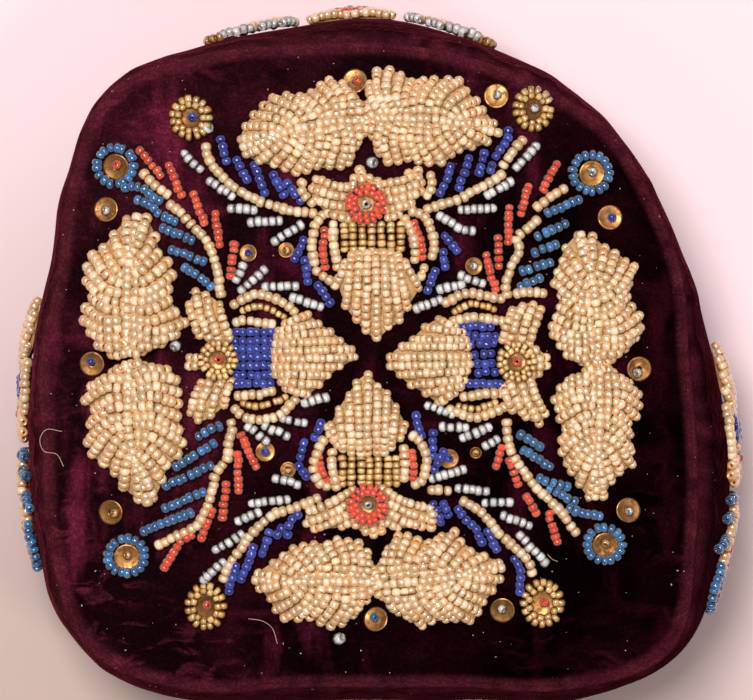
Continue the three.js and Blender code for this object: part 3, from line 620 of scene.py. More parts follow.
# A flower: its ring, the shapes of its head with the heading of their strings, single strings
# by kind, its block, and its bud: base, edge and number of strings.
FLOWERS = {
    "top": {
        "ring": ("coral", (366, 204)), "eye": "clear",
        "head": [
            ([(356, 184), (345, 182), (334, 180), (320, 175), (310, 180), (309, 190), (315, 202),
              (326, 212), (336, 219), (352, 222), (348, 204)],
             14),
            ([(376, 184), (390, 179), (402, 177), (412, 172), (424, 178), (424, 194), (412, 203),
              (402, 213), (386, 222), (384, 204)],
             -14),
            ([(350, 186), (353, 177), (360, 170), (368, 174), (380, 179), (382, 187), (366, 190)], 90)],
        "strings": {
            "cream": [
                [(303, 180), (300, 187), (306, 197), (314, 205)],
                [(431, 173), (432, 182), (430, 190), (426, 197)], [(408, 172), (410, 180)],
                [(418, 170), (419, 180)], [(360, 168), (361, 178)],
                [(325, 213), (315, 225), (312, 240), (312, 252), (315, 266)],
                [(314, 270), (325, 277), (338, 288)], [(334, 221), (333, 240), (338, 270)],
                [(403, 216), (411, 230), (415, 246), (414, 262)],
                [(410, 211), (424, 215), (432, 230), (435, 245), (432, 260)], [(425, 265), (421, 278)]],
            "coral": [[(325, 228), (323, 248), (325, 268)], [(413, 221), (420, 238), (423, 259)]]},
        "block": ("gold", [[(x, 222), (x, 252)] for x in (344, 353, 362, 371, 381, 391, 401)]),
        "bud": (
            [(345, 262), (352, 253), (374, 251), (396, 253), (404, 262)],
            [(337, 284), (340, 298), (348, 310), (357, 320), (366, 331), (374, 343), (388, 329),
             (402, 320), (409, 305), (419, 290)],
            9)},
    "left": {
        "ring": ("gold", (218, 360)), "eye": "coral",
        "head": [
            ([(206, 344), (192, 330), (188, 308), (189, 290), (200, 290), (214, 297), (227, 314),
              (232, 330), (230, 346)],
             72),
            ([(204, 346), (194, 350), (184, 362), (192, 374), (204, 378)], 0),
            ([(206, 376), (193, 390), (188, 410), (192, 424), (204, 422), (220, 410), (231, 398),
              (232, 378)],
             108)],
        "strings": {
            "cream": [
                [(232, 306), (245, 297), (262, 294), (280, 300), (297, 313)],
                [(232, 323), (250, 321), (276, 325)], [(235, 396), (255, 395), (275, 392)],
                [(232, 408), (246, 418), (264, 420), (280, 415), (298, 398)]],
            "gold": [
                [(240, 311), (255, 307), (270, 309), (286, 318)],
                [(240, 403), (256, 407), (275, 403), (288, 397)]]},
        "block": ("cobalt", [[(233, y), (274, y)] for y in (332, 341, 349, 357, 366, 375, 384)]),
        "bud": (
            [(284, 325), (276, 334), (273, 354), (276, 376), (284, 388)],
            [(308, 314), (318, 322), (328, 330), (340, 340), (352, 348), (360, 355), (346, 364),
             (334, 374), (322, 384), (308, 394)],
            10)},
    "bottom": {
        "ring": ("coral", (368, 505)), "eye": "clear",
        "head": [
            ([(356, 488), (340, 492), (322, 500), (308, 510), (302, 522), (310, 531), (328, 529),
              (346, 528), (358, 524), (350, 506)],
             -26),
            ([(380, 488), (396, 490), (410, 496), (424, 506), (430, 518), (424, 528), (408, 529),
              (392, 527), (380, 524), (386, 506)],
             24),
            ([(352, 524), (362, 535), (372, 537), (382, 533), (386, 524), (368, 520)], 90)],
        "strings": {
            "cream": [
                [(428, 506), (432, 516), (430, 530)],
                [(326, 438), (318, 450), (313, 464), (315, 476), (322, 485), (330, 487)],
                [(331, 450), (333, 470), (338, 489)], [(403, 446), (405, 464), (403, 483)],
                [(410, 434), (420, 443), (426, 456), (426, 470), (421, 482), (412, 487)],
                [(327, 424), (333, 438), (346, 451)]],
            "coral": [[(321, 449), (320, 465), (328, 482)], [(411, 450), (414, 466), (413, 481)]]},
        "block": ("gold", [[(x, 456), (x, 486)] for x in (343, 352, 361, 370, 379, 388, 396)]),
        "bud": (
            [(336, 440), (350, 453), (368, 456), (386, 453), (400, 440)],
            [(331, 424), (338, 410), (345, 400), (352, 387), (362, 378), (368, 374), (374, 384),
             (388, 392), (396, 403), (405, 424)],
            9)},
    "right": {
        "ring": ("gold", (517, 362)), "eye": "coral",
        "head": [
            ([(503, 346), (502, 330), (508, 314), (518, 304), (540, 302), (543, 312), (538, 328),
              (534, 346)],
             108),
            ([(531, 346), (544, 352), (552, 362), (544, 373), (531, 378)], 0),
            ([(503, 378), (501, 394), (512, 410), (528, 420), (542, 426), (546, 414), (542, 400),
              (534, 378)],
             66)],
        "strings": {
            "cream": [
                [(514, 294), (530, 292), (546, 294)], [(443, 304), (468, 294), (505, 300)],
                [(450, 322), (475, 317), (505, 322)], [(460, 398), (482, 394), (505, 393)],
                [(447, 408), (476, 418), (508, 406)]],
            "gold": [[(452, 313), (470, 304), (496, 310)], [(457, 405), (478, 409), (499, 402)]]},
        "block": (
            "cobalt",
            [[(460, 327), (492, 327)], [(467, 335), (497, 335)], [(469, 344), (497, 344)],
             [(472, 354), (494, 354)], [(474, 364), (495, 364)], [(476, 373), (498, 373)],
             [(467, 383), (504, 383)]]),
        "bud": (
            [(456, 328), (467, 338), (471, 360), (467, 380), (456, 392)],
            [(437, 318), (428, 323), (420, 333), (410, 341), (396, 351), (381, 361), (396, 373),
             (408, 383), (425, 394), (438, 403)],
            10)},
}

# Sprays: strings by kind, from the stem outwards or from end to end.
SPRAYS = {
    "spray_upper_left_blue": {
        "cream": [
            [(141, 172), (155, 185), (170, 196)],
            [(167, 203), (181, 212), (192, 226), (207, 240), (215, 258), (220, 277), (222, 298)]],
        "light_blue": [
            [(122, 188), (139, 187), (152, 196), (162, 203)],
            [(134, 198), (148, 203), (158, 213), (178, 222)], [(160, 226), (175, 233), (195, 241)],
            [(168, 248), (184, 254), (206, 262)], [(182, 265), (198, 275), (213, 288)]],
        "coral": [
            [(137, 148), (162, 178)], [(167, 162), (182, 197)], [(192, 192), (205, 225)],
            [(215, 210), (220, 247)], [(234, 242), (230, 277)]]},
    "spray_upper_left_amber": {
        "cream": [
            [(205, 143), (208, 158), (218, 172), (232, 185), (245, 193), (258, 200), (272, 205),
             (290, 210), (317, 213)]],
        "cobalt": [
            [(218, 135), (227, 164)], [(235, 157), (248, 183)], [(253, 163), (265, 196)],
            [(272, 172), (284, 198)], [(285, 180), (302, 203)]],
        "clear": [
            [(181, 150), (202, 172)], [(207, 180), (233, 198)], [(227, 208), (257, 210)],
            [(248, 222), (283, 220)], [(271, 242), (303, 224)]]},
    "spray_upper_right_amber": {
        "cream": [
            [(525, 138), (512, 152), (502, 168)],
            [(505, 172), (490, 182), (475, 190), (460, 198), (445, 203), (425, 209)]],
        "cobalt": [
            [(508, 127), (510, 133), (503, 147), (495, 158)], [(485, 150), (482, 162), (477, 176)],
            [(470, 155), (465, 170), (457, 190)], [(452, 162), (448, 177), (438, 195)],
            [(493, 163), (491, 172)]],
        "clear": [
            [(540, 143), (515, 168)], [(513, 180), (485, 197)], [(496, 208), (458, 210)],
            [(476, 230), (460, 228), (437, 214)]]},
    "spray_upper_right_blue": {
        "cream": [
            [(567, 187), (550, 197), (535, 209)],
            [(540, 217), (525, 230), (517, 238), (520, 250), (512, 265), (507, 282), (507, 298)]],
        "coral": [
            [(558, 162), (541, 192)], [(530, 183), (520, 215)], [(510, 205), (508, 246)],
            [(498, 235), (498, 268)], [(485, 253), (490, 270), (495, 292)]],
        "light_blue": [
            [(582, 198), (545, 215)], [(568, 223), (536, 237)], [(560, 243), (533, 252)],
            [(553, 262), (520, 272)], [(543, 277), (518, 288)]]},
    "spray_lower_left_blue": {
        "cream": [
            [(230, 420), (232, 430), (228, 445), (226, 460), (215, 475), (212, 492), (205, 512),
             (195, 527), (178, 537), (155, 548)]],
        "light_blue": [
            [(195, 438), (220, 425)], [(173, 468), (215, 443)], [(163, 487), (212, 465)],
            [(162, 510), (205, 492)], [(140, 533), (160, 525), (193, 512)]],
        "coral": [
            [(240, 433), (256, 470)], [(238, 452), (238, 495)], [(226, 482), (222, 521)],
            [(213, 508), (200, 542)], [(193, 533), (178, 545), (162, 570)]]},
    "spray_lower_left_amber": {
        "cream": [
            [(320, 497), (293, 508), (275, 513), (262, 523), (250, 535), (240, 550), (230, 562),
             (222, 582)]],
        "clear": [
            [(248, 503), (290, 500)], [(235, 523), (260, 511)], [(213, 553), (243, 533)],
            [(200, 583), (225, 560)]],
        "cobalt": [
            [(300, 513), (290, 523), (287, 537)], [(283, 527), (277, 537)], [(270, 530), (262, 558)],
            [(255, 545), (240, 583)], [(237, 563), (228, 595)]]},
    "spray_lower_right_amber": {
        "cream": [
            [(428, 490), (450, 491)],
            [(460, 500), (475, 508), (490, 522), (500, 535), (515, 548), (528, 563), (533, 575)]],
        "clear": [
            [(430, 480), (467, 469)], [(455, 488), (490, 492)], [(482, 503), (512, 502)],
            [(500, 515), (533, 526)], [(518, 533), (548, 566)]],
        "cobalt": [
            [(433, 502), (442, 525)], [(443, 503), (450, 518)],
            [(457, 508), (467, 520), (478, 533), (483, 546)], [(487, 530), (498, 553)],
            [(513, 557), (520, 572), (520, 595)]]},
    "spray_lower_right_blue": {
        "cream": [
            [(508, 420), (509, 440), (515, 457), (525, 472), (537, 487), (550, 500), (563, 513),
             (579, 535)]],
        "coral": [
            [(503, 445), (495, 468)], [(508, 458), (518, 488)], [(525, 493), (538, 515)],
            [(548, 512), (558, 546)]],
        "light_blue": [
            [(518, 433), (543, 447)], [(520, 448), (552, 468)], [(537, 478), (570, 488)],
            [(548, 488), (577, 503)], [(568, 508), (583, 514), (603, 517)]]},
}

# Short strings between the sprays and the buds.
SHORT_STRINGS = {
    "clear": [
        [(245, 262), (235, 283)], [(267, 268), (240, 292)], [(263, 287), (298, 285)],
        [(290, 297), (323, 308)], [(302, 405), (328, 398)], [(278, 418), (308, 425)],
        [(245, 425), (268, 443)], [(262, 425), (290, 437)], [(273, 478), (300, 485)],
        [(457, 273), (485, 285)], [(437, 290), (465, 284)], [(413, 310), (443, 299)],
        [(425, 405), (455, 415)], [(440, 427), (470, 427)], [(460, 440), (492, 427)],
        [(483, 447), (498, 438)]],
    "cobalt": [
        [(305, 238), (293, 262)], [(305, 258), (308, 285)], [(318, 283), (332, 307)],
        [(443, 233), (459, 252)], [(444, 248), (446, 270)], [(436, 268), (427, 293)],
        [(322, 420), (314, 440)], [(305, 440), (300, 460)], [(297, 465), (308, 480)],
        [(415, 413), (422, 440)], [(433, 430), (433, 460)], [(445, 450), (432, 472)]],
}

# Rosettes: middle, radius, kind of the ring and of the bead on the sequin, and squash.
ROSETTES = {
    "rosette_left_upper": ((114, 165), 18.5, "light_blue", "coral", 1.0),
    "rosette_top_left": ((190, 117), 17.5, "amber", "cobalt", 1.05),
    "rosette_top_right": ((534, 108), 17, "amber", "clear", 1.1),
    "rosette_right_upper": ((592, 172), 18.5, "light_blue", "clear", 1.0),
    "rosette_right_lower": ((605, 545), 17.5, "light_blue", "amber", 0.95),
    "rosette_bottom_right": ((543, 604), 18, "amber", "coral", 1.12),
    "rosette_bottom_left": ((205, 607), 17, "amber", "coral", 1.2),
    "rosette_left_lower": ((125, 557), 18.5, "light_blue", "amber", 0.95),
}
# Loose sequins: middle, kind of bead, tilt in degrees.
SEQUINS = {
    "sequin_1": ((105, 209), "clear", 6), "sequin_2": ((91, 364), "cobalt", 8),
    "sequin_3": ((110, 513), "amber", 9), "sequin_4": ((376, 620), "light_blue", 24),
    "sequin_5": ((503, 611), "clear", 7), "sequin_6": ((629, 511), "clear", 6),
    "sequin_7": ((640, 369), "clear", 9), "sequin_8": ((611, 217), "cobalt", 5),
    "sequin_9": ((497, 95), "clear", 8), "sequin_10": ((355, 80), "coral", 6),
}
INNER_SEQUINS = [
    ((248, 253), "cobalt", 9.0), ((286, 250), "amber", 8.0), ((474, 266), "clear", 9.0),
    ((265, 452), "cobalt", 10.0), ((288, 470), "amber", 8.0), ((449, 459), "cobalt", 10.0),
    ((476, 453), "amber", 6.0),
]
SINGLE_BEADS = [("clear", 175, 346), ("clear", 372, 162), ("clear", 339, 640), ("clear", 207, 127)]


# Velvet
def waves(angle, seed, low, high, terms=9):
    """A smooth random ripple round the cap, between about -1 and 1."""
    local = np.random.default_rng(seed)
    total = 0
    for _ in range(terms):
        total = total + np.cos(local.integers(low, high) * angle + local.uniform(0, TURN))
    return total / math.sqrt(terms) * 0.8


def ramp(x, start, end):
    """Smoothly from 0 at the start to 1 at the end, which may be the lower of the two."""
    t = np.clip((x - start) / (end - start), 0, 1)
    return t * t * (3 - 2 * t)


# Painted side light: how bright the pile is painted at the upper left, nearest the light, and at
# the lower right.
PAINTED_SIDE_LIGHT = (2.3, 0.35)


def velvet_material(name, ribbed):
    """Crushed pile: painted sheen in patches and streaks, where pile that lies another way catches
    the light, painted highlights along creases of gathered cloth, painted side light that is
    brighter at the upper left, and a paler seam and edges.
    """
    look = Look(name)
    spot, tone = look.spot(), look.tone()

    def noise(scale, detail, stretch=(1, 1, 1), bent=0.0):
        mapping = look.add("Mapping", {"Scale": stretch, "Vector": spot})
        node = look.add("TexNoise", {"Vector": mapping.outputs["Vector"], "Scale": scale,
                                     "Detail": detail, "Roughness": 0.55, "Distortion": bent})
        return node.outputs["Fac"]

    # Painted sheen: brighter streaks and crossed patches where crushed pile catches the light.
    sheen_streaks = look.remap(noise(95, 4, (1.0, 0.32, 0.5)), 0.54, 0.74)
    crossed_sheen = look.remap(noise(100, 3, (0.3, 1.0, 0.9)), 0.56, 0.76, 0, 0.8)
    crumples = noise(240, 4, (0.5, 1.0, 1.0), 0.9)
    # Painted highlights along creases, where the cloth is gathered.
    crease_highlights = look.add("Math", {0: look.remap(crumples, 0.5, 0.76), 1: tone["Green"]},
                       operation="MULTIPLY").outputs["Value"]
    blotches = look.remap(noise(36, 3), 0.42, 0.66)
    colour = look.mix(blotches, (0.0038, 0.0008, 0.0013), (0.013, 0.0018, 0.0034))
    colour = look.mix(sheen_streaks, colour, (0.05, 0.005, 0.013))
    colour = look.mix(crossed_sheen, colour, (0.038, 0.0038, 0.01))
    colour = look.mix(crease_highlights, colour, (0.06, 0.008, 0.015))
    over = look.add("SeparateXYZ", {"Vector": spot}).outputs
    # Painted side light: brighter at the upper left, darker at the lower right.
    away_from_light = look.slant(over["Y"], -0.5, over["X"])
    colour = look.shaded(colour, look.remap(away_from_light, -0.1, 0.09, *PAINTED_SIDE_LIGHT))
    # Paler along the seam and the edges.
    colour = look.mix(tone["Red"], colour, (0.12, 0.018, 0.03))
    grain = look.remap(noise(1400, 2), 0.35, 0.75)
    colour = look.shaded(colour, look.remap(grain, 0, 1, 0.7, 1.3))
    lint = look.remap(noise(1300, 0), 0.865, 0.88)
    look.feed(look.shader, {
        "Base Color": look.mix(lint, colour, (0.4, 0.3, 0.27)), "Roughness": 0.9,
        "Specular IOR Level": 0.0, "Sheen Weight": 0.12, "Sheen Roughness": 0.22,
        "Sheen Tint": (0.85, 0.1, 0.17),
    })
    layers = [(noise(1100, 3), 0.5, 0.0004), (crumples, 0.4, 0.0012)]
    if ribbed:
        wave = look.add("TexWave", {"Scale": 260, "Distortion": 3.5, "Vector": spot},
                        wave_type="BANDS", bands_direction="DIAGONAL")
        layers.append((wave.outputs["Fac"], 0.14, 0.0005))
    look.bumps(layers)
    return look.material


VELVET = velvet_material("crushed_velvet", False)
BAND_VELVET = velvet_material("band_velvet", True)
CROWN_TURNS = 440
angles = turns(CROWN_TURNS)
# The crown's turned-in edge: how far out and down from the seam, and how pale the pile is there.
EDGE_INSET = 0.5
CROWN_EDGE = [(0.2, 0.5, 0.8), (0.75, 1.1, 0.7), (0.9, 1.7, 0.3), (0.2, 2.3, 0)]
# The ridge over the seam: its height, where it is as a share of the seam's radius, and width.
RIDGE_HEIGHT, RIDGE_AT, RIDGE_WIDTH = 0.45, 0.975, 0.012
# Ripples of the band: seed, fewest and most round it, depth, and where they start and are full.
BAND_RIPPLES = [(21, 30, 90, 0.4, 0.7, 0.94), (22, 10, 34, 0.4, 0.4, 0.9),
                (23, 5, 14, 0.5, 0.45, 0.0)]
HEM = 0.9
INNER_ROWS = 12


def level(x, y, z):
    """A row of the velvet's points, one in each direction."""
    return np.stack([x, y, np.broadcast_to(z, x.shape)], axis=-1)


def crown_relief(angle, share, x, y):
    """Crumples of the velvet on top of its even form."""
    folds = waves(angle, 3, 38, 90) * 0.42 * ramp(share, 0.8, 1.0)
    folds = folds + waves(angle, 4, 16, 40) * 0.35 * ramp(share, 0.6, 0.95)
    dents = (np.sin(x / 9 + 1.3 * np.sin(y / 14)) * np.sin(y / 11 + 0.8 * np.sin(x / 17)))
    return folds + 0.22 * dents * ramp(share, 0.05, 0.3)


def settle(piece, node=None):
    """What a piece moves with, and which CAD node it replaces."""
    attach(piece, "root")
    if node:
        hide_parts(node)


def make_velvet(node, rows, pile_pale, patchy, seed, gather_highlight, material):
    """A closed shell from rows of points, with how pale the pile is in each row, how much that
    varies round the cap, and how much painted highlight the creases of gathered cloth get."""
    points = np.array(rows)
    tone = np.zeros((*points.shape[:2], 4), np.float32)
    patches = 1 - patchy + patchy * waves(angles, seed, 20, 120)
    tone[..., 0] = np.array(pile_pale)[:, None] * patches
    tone[..., 1] = gather_highlight
    faces = grid_faces(len(rows), CROWN_TURNS, tube=True, loop=True)
    piece = build_mesh(node + "_velvet", points.reshape(-1, 3), faces, [material],
                       np.clip(tone, 0, 1).reshape(-1, 4))
    settle(piece, node)
    return piece


def make_crown():
    """The top, its edge turned in at the seam, and its underside."""
    shares = np.concatenate([np.linspace(0.004, 0.8, 52), np.linspace(0.81, 0.985, 34)])
    seam = seam_radius(angles)
    rows, pile_pale = [], list(0.55 * ramp(shares, 0.955, 0.985))
    for share in shares:
        x, y = polar(angles, share * seam)
        ridge = RIDGE_HEIGHT * math.exp(-((share - RIDGE_AT) / RIDGE_WIDTH) ** 2)
        rows.append(level(x, y, crown_top(x, y) + crown_relief(angles, share, x, y) + ridge))
    edge_lift = crown_relief(angles, 1.0, 0, 0)
    for out, down, edge_pale in CROWN_EDGE:
        x, y = polar(angles, seam + out - EDGE_INSET)
        rows.append(level(x, y, crown_top(x, y) + edge_lift * (1 - down / CROWN_EDGE[-1][1]) - down))
        pile_pale.append(edge_pale)
    for share in np.linspace(0.97, 0.004, 16):
        dome = CROWN_RISE * (1 - share ** CROWN_FLATNESS)
        rows.append(level(*polar(angles, share * seam), SEAM_HEIGHT + GAP + dome))
        pile_pale.append(0)
    corners = np.clip((around(angles, REACH) - 1.0) / 0.14, 0.15, 1)
    # Painted crease highlights near the crown's edge, most at its corners.
    gather_highlight = np.zeros((len(rows), CROWN_TURNS))
    gather_highlight[:len(shares)] = ramp(shares, 0.74, 0.9)[:, None] * corners
    return make_velvet("crown_panel", rows, pile_pale, 0.25, 11, gather_highlight, VELVET)


def make_band():
    """The side wall: out and up over its bulge, in at the seam, then down inside."""
    ups = np.concatenate([[0.0, 0.006, 0.02], np.linspace(0.05, 0.8, 26),
                          np.linspace(0.82, 0.985, 20), [0.995, 1.0]])
    rows = []
    for up in ups:
        fold = sum(waves(angles, seed, low, high) * depth * ramp(up, start, full)
                   for seed, low, high, depth, start, full in BAND_RIPPLES)
        radius = band_radius(angles, up) + fold * ramp(up, 1.0, 0.94) - HEM * ramp(up, 0.02, 0)
        rows.append(level(*polar(angles, radius), up * SEAM_HEIGHT))
    for up in np.linspace(1.0, 0.0, INNER_ROWS):
        radius = band_radius(angles, up) - BAND_WALL
        rows.append(level(*polar(angles, radius), up * (SEAM_HEIGHT - 1) + 0.2))
    # Paler near the seam and at the hem.
    pile_pale = [*(0.5 * ramp(ups, 0.9, 0.985) + 0.35 * ramp(ups, 0.04, 0)), *np.zeros(INNER_ROWS)]
    # The band's creases get painted highlights all round.
    return make_velvet("side_band", rows, pile_pale, 0.3, 12, 0.6, BAND_VELVET)


crown_velvet, band_velvet = make_crown(), make_band()


# Brass sequins
def brass_material():
    look = Look("worn_brass")
    noise = look.add("TexNoise", {"Vector": look.spot(), "Scale": 700, "Detail": 3}).outputs["Fac"]
    dull = look.remap(noise, 0.4, 0.65)
    look.feed(look.shader, {
        "Base Color": look.mix(dull, (0.27, 0.118, 0.03), (0.125, 0.054, 0.016)),
        "Roughness": look.remap(noise, 0.3, 0.7, 0.28, 0.5), "Metallic": 0.75,
    })
    return look.material


BRASS = brass_material()
# The section of a sequin as shares of its radius, and its height in millimetres.
SEQUIN_PROFILE = np.array([
    (0.16, 0.1), (0.3, 0.06), (0.55, 0.1), (0.86, 0.24), (1.0, 0.34), (0.99, 0.42), (0.85, 0.34),
    (0.55, 0.2), (0.3, 0.16), (0.16, 0.2),
])
SEQUIN_SIDES = 26


def sequin_points(place, u, v, radius, tilt, height=0.35):
    """A thin cupped disc with a hole, laid on the velvet and tipped by so many degrees."""
    spot = place(u, v, height)
    ahead = unit(place(u + 2.0, v, height) - spot)
    up = unit(np.cross(place(u, v + 2.0, height) - spot, ahead))
    a = rng.uniform(0, TURN)
    aside = np.cross(up, ahead)
    lean = math.radians(tilt)
    tipped = up * math.cos(lean) + (ahead * math.cos(a) + aside * math.sin(a)) * math.sin(lean)
    ahead = unit(ahead - tipped * (ahead @ tipped))
    turn = turns(SEQUIN_SIDES)[:, None]
    circle = np.cos(turn) * ahead + np.sin(turn) * np.cross(tipped, ahead)
    middle = spot + up * radius * math.sin(lean) * 0.5
    points = (middle + SEQUIN_PROFILE[:, 0, None, None] * radius * circle +
              SEQUIN_PROFILE[:, 1, None, None] * tipped)
    faces = grid_faces(len(SEQUIN_PROFILE), SEQUIN_SIDES, tube=True, loop=True)
    return points.reshape(-1, 3), faces[:, ::-1]


# Beadwork of the crown
pads, eyes = [], []
CREAM_WIDTH = 2.45
LEAF_RISE, HEAD_RISE, BUD_RISE = 3.1, 2.0, 3.4
# The two rings of a flower's middle: radius in chart steps, and height.
FLOWER_RINGS = ((17.0, 3.4), (12.2, 3.1))
# The two rings of an amber rosette: how far in, height, number and width of the beads.
AMBER_RINGS = ((0, 1.5, None, 2.75), (4.5, 2.0, 11, 2.2))
# Radius of a loose sequin, a flower's and a rosette's.
SEQUIN_RADIUS, EYE_RADIUS, ROSETTE_RADIUS = 3.15, 2.6, 3.35


def finish_piece(beads, name, stands_for=True):
    """One piece of beadwork, in the place of the CAD node with its name."""
    settle(beads.make(name + "_beads"), name if stands_for else None)
    pads.extend(beads.pads)


def add_strings(beads, chart, rise):
    for kind, strings in chart.items():
        for points in strings:
            beads.string(kind, on_crown, points, rise=rise)


for name, (width, midrib, edges) in LEAVES.items():
    beads = Beads()
    for edge in edges:
        beads.fill("cream", on_crown, midrib, edge, width, LEAF_RISE, mid=1.5, bow=0.15,
                   lead=(0.0, 0.68), reach=(0.05, 0.99), squeeze=0.82)
    beads.string("cream", on_crown, midrib, foot=3.3, rise=1.1, width=width)
    finish_piece(beads, name)

for side, flower in FLOWERS.items():
    beads = Beads()
    kind, (u, v) = flower["ring"]
    for shape, heading in flower["head"]:
        beads.hatch("cream", on_crown, shape, heading, CREAM_WIDTH, HEAD_RISE, 0.04, 0.9)
    add_strings(beads, flower["strings"], 1.0)
    for radius, height in FLOWER_RINGS:
        beads.ring(kind, on_crown, (u, v), radius, foot=height)
    eyes.append(sequin_points(on_crown, u, v, EYE_RADIUS, 4, 2.4))
    beads.single(flower["eye"], on_crown, u, v, 3.7, lean=0.3)
    finish_piece(beads, f"flower_{side}")
    kind, strings = flower["block"]
    beads = Beads()
    for points in strings:
        beads.string(kind, on_crown, points, foot=1.5, rise=0.8, width=2.4)
    finish_piece(beads, f"block_{side}")
    beads = Beads()
    base, edge, rows = flower["bud"]
    beads.fill("cream", on_crown, base, edge, CREAM_WIDTH, BUD_RISE, mid=0.9, rows=rows)
    finish_piece(beads, f"bud_{side}")

for name, spray in SPRAYS.items():
    beads = Beads()
    add_strings(beads, spray, 0.7)
    finish_piece(beads, name)

for name, ((u, v), radius, kind, eye, squash) in ROSETTES.items():
    beads = Beads()
    if kind == "amber":
        for inset, height, count, width in AMBER_RINGS:
            beads.ring(kind, on_crown, (u, v), radius - inset, height, count, squash, width)
    else:
        beads.ring(kind, on_crown, (u, v), radius, squash=squash)
    beads.single(eye, on_crown, u + 1.5, v - 1, 1.9, width=2.5)
    finish_piece(beads, name)
    eyes.append(sequin_points(on_crown, u + 1, v + 1, ROSETTE_RADIUS, 9))

for name, ((u, v), kind, tilt) in SEQUINS.items():
    disc = join(name + "_disc", [sequin_points(on_crown, u, v, SEQUIN_RADIUS, tilt)], BRASS)
    settle(disc, name)

beads = Beads()
add_strings(beads, SHORT_STRINGS, 0.6)
for kind, u, v in SINGLE_BEADS:
    beads.single(kind, on_crown, u, v, width=3.5)
for (u, v), kind, _ in SEQUINS.values():
    beads.single(kind, on_crown, u + rng.normal(0, 2), v + rng.normal(0, 2), 1.6, width=2.5)
for (u, v), kind, radius in INNER_SEQUINS:
    eyes.append(sequin_points(on_crown, u, v, radius * CHART_STEP, 7, 0.4))
    beads.single(kind, on_crown, u, v, 1.5, width=2.2)
finish_piece(beads, "small_strings", stands_for=False)

# Beadwork of the band
# Direction of the ring, its height as a share of SEAM_HEIGHT, which way the bud points in
# degrees (0 along the band towards +angle), size, relief, and which stems the sprays have.
BAND_FLOWERS = {
    "right": (-16, 0.58, 0, 1.0, 1.0, "ahead"), "back": (95, 0.6, -90, 0.8, 1.0, "beside"),
    "left": (189, 0.58, 180, 1.0, 1.0, "ahead"), "front": (268, 0.4, -90, 0.72, 0.75, "beside"),
}
# Half of a flower head's edge, away from the bud and across, as shares of its half width.
BAND_STAR = [(-0.24, 0.08), (-0.26, 0.36), (-0.14, 0.5), (-0.04, 0.7), (0.12, 0.88), (0.4, 0.97),
             (0.4, 0.7), (0.46, 0.5), (0.36, 0.26), (0.5, 0.05), (0.3, 0), (-0.24, 0)]
BAND_STAR_HALF, BAND_BUD_LENGTH, BAND_BUD_HALF = 15 / CHART_STEP, 21 / CHART_STEP, 9 / CHART_STEP
BAND_BUD_FROM, BAND_BLOCK_HALF = 0.66, 0.42
# A bud's edge: from its base as a share of its length, and across as one of its half width.
BAND_BUD_EDGE = [(0.35, -1), (0.6, -0.75), (0.8, -0.45), (1, 0), (0.8, 0.45), (0.6, 0.75),
                 (0.35, 1)]
# A curved string beside the block: along, and across as a share of how far out it is.
BAND_SIDE_STRING = [(0.02, 0.86), (-0.3, 1), (-0.62, 1), (-0.92, 0.84)]
BAND_STEMS = {
    "ahead": [(1.95, 0.85), (1.5, 0.95), (1.05, 0.8), (0.65, 0.5)],
    "beside": [(-0.3, 2.45), (0.05, 2.05), (0.2, 1.6), (0.1, 1.15)],
}
# The design of each pair of stems: ring, eye, block, and the strings on a spray's two sides.
BAND_COLOURS = {
    "ahead": ("gold", "coral", "cobalt", "light_blue", "coral"),
    "beside": ("coral", "clear", "gold", "cobalt", "clear"),
}
BAND_STRING_SHARES = (0.14, 0.42, 0.7, 0.97)
# A spray's strings, in chart steps and degrees: gap to the stem, length and lean.
BAND_STRING_GAP, BAND_STRING_LENGTH, BAND_STRING_LEAN = 6, 26, 36
# A flower's rings, radius in chart steps and how much lower than the first, and its sequin's
# radius in millimetres. A rosette lies so far ahead of its stem, in chart steps.
BAND_RINGS, BAND_EYE_RADIUS = ((16.0, 0.0), (11.5, 0.2)), 2.3
BAND_ROSETTE_AHEAD, BAND_ROSETTE_RADIUS, BAND_ROSETTE_SEQUIN = 24, 17, 2.7
STEM_STEPS = 50


def band_head(beads, place, star, relief, ring, eye):
    for sign in (-1, 1):
        shape = [(along * star, sign * across * star) for along, across in BAND_STAR]
        beads.hatch("cream", place, shape, 90 - 16 * sign, CREAM_WIDTH, 0.8 * relief,
                    squeeze=0.93)
    foot = 0.9 + 1.2 * relief
    share = star / BAND_STAR_HALF
    for radius, lower in BAND_RINGS:
        beads.ring(ring, place, (0, 0), radius * share, foot=foot - lower)
    eyes.append(sequin_points(place, 0, 0, BAND_EYE_RADIUS * share, 4, foot - 0.7))
    beads.single(eye, place, 0, 0, foot + 0.5, lean=0.3)


def band_block(beads, place, star, relief, kind):
    """Strings between the ring and the bud, with curved ones beside them."""
    first, last = -0.3 * star, -(BAND_BUD_FROM + 0.02) * star
    half = BAND_BLOCK_HALF * star
    rows, rise, width = (7, 0.7, 2.1) if kind == "gold" else (6, 0.8, 2.15)
    for i in range(rows):
        share = (i + 0.5) / rows
        u, v = first + (last - first) * share, (share * 2 - 1) * half
        points = [(first, v), (last, v)] if kind == "gold" else [(u, -half), (u, half)]
        beads.string(kind, place, points, foot=1.2 + rise * relief, width=width)
    outer = "coral" if kind == "gold" else "gold"
    for sign in (-1, 1):
        for reach, string_kind in ((0.55, "cream"), (0.67, outer), (0.79, "cream")):
            points = [(along * star, sign * reach * star * across)
                      for along, across in BAND_SIDE_STRING]
            beads.string(string_kind, place, points, foot=1.0, rise=0.2)


def band_bud(beads, place, star, size, relief):
    base = -(BAND_BUD_FROM + 0.04) * star
    half, length = BAND_BUD_HALF * size, BAND_BUD_LENGTH * size
    start = [(base - 4, -0.6 * half), (base, 0), (base - 4, 0.6 * half)]
    edge = [(base - along * length, across * half) for along, across in BAND_BUD_EDGE]
    beads.fill("cream", place, start, edge, CREAM_WIDTH, 1.5 * relief, mid=0.4,
               rows=8 if size > 0.9 else 6)


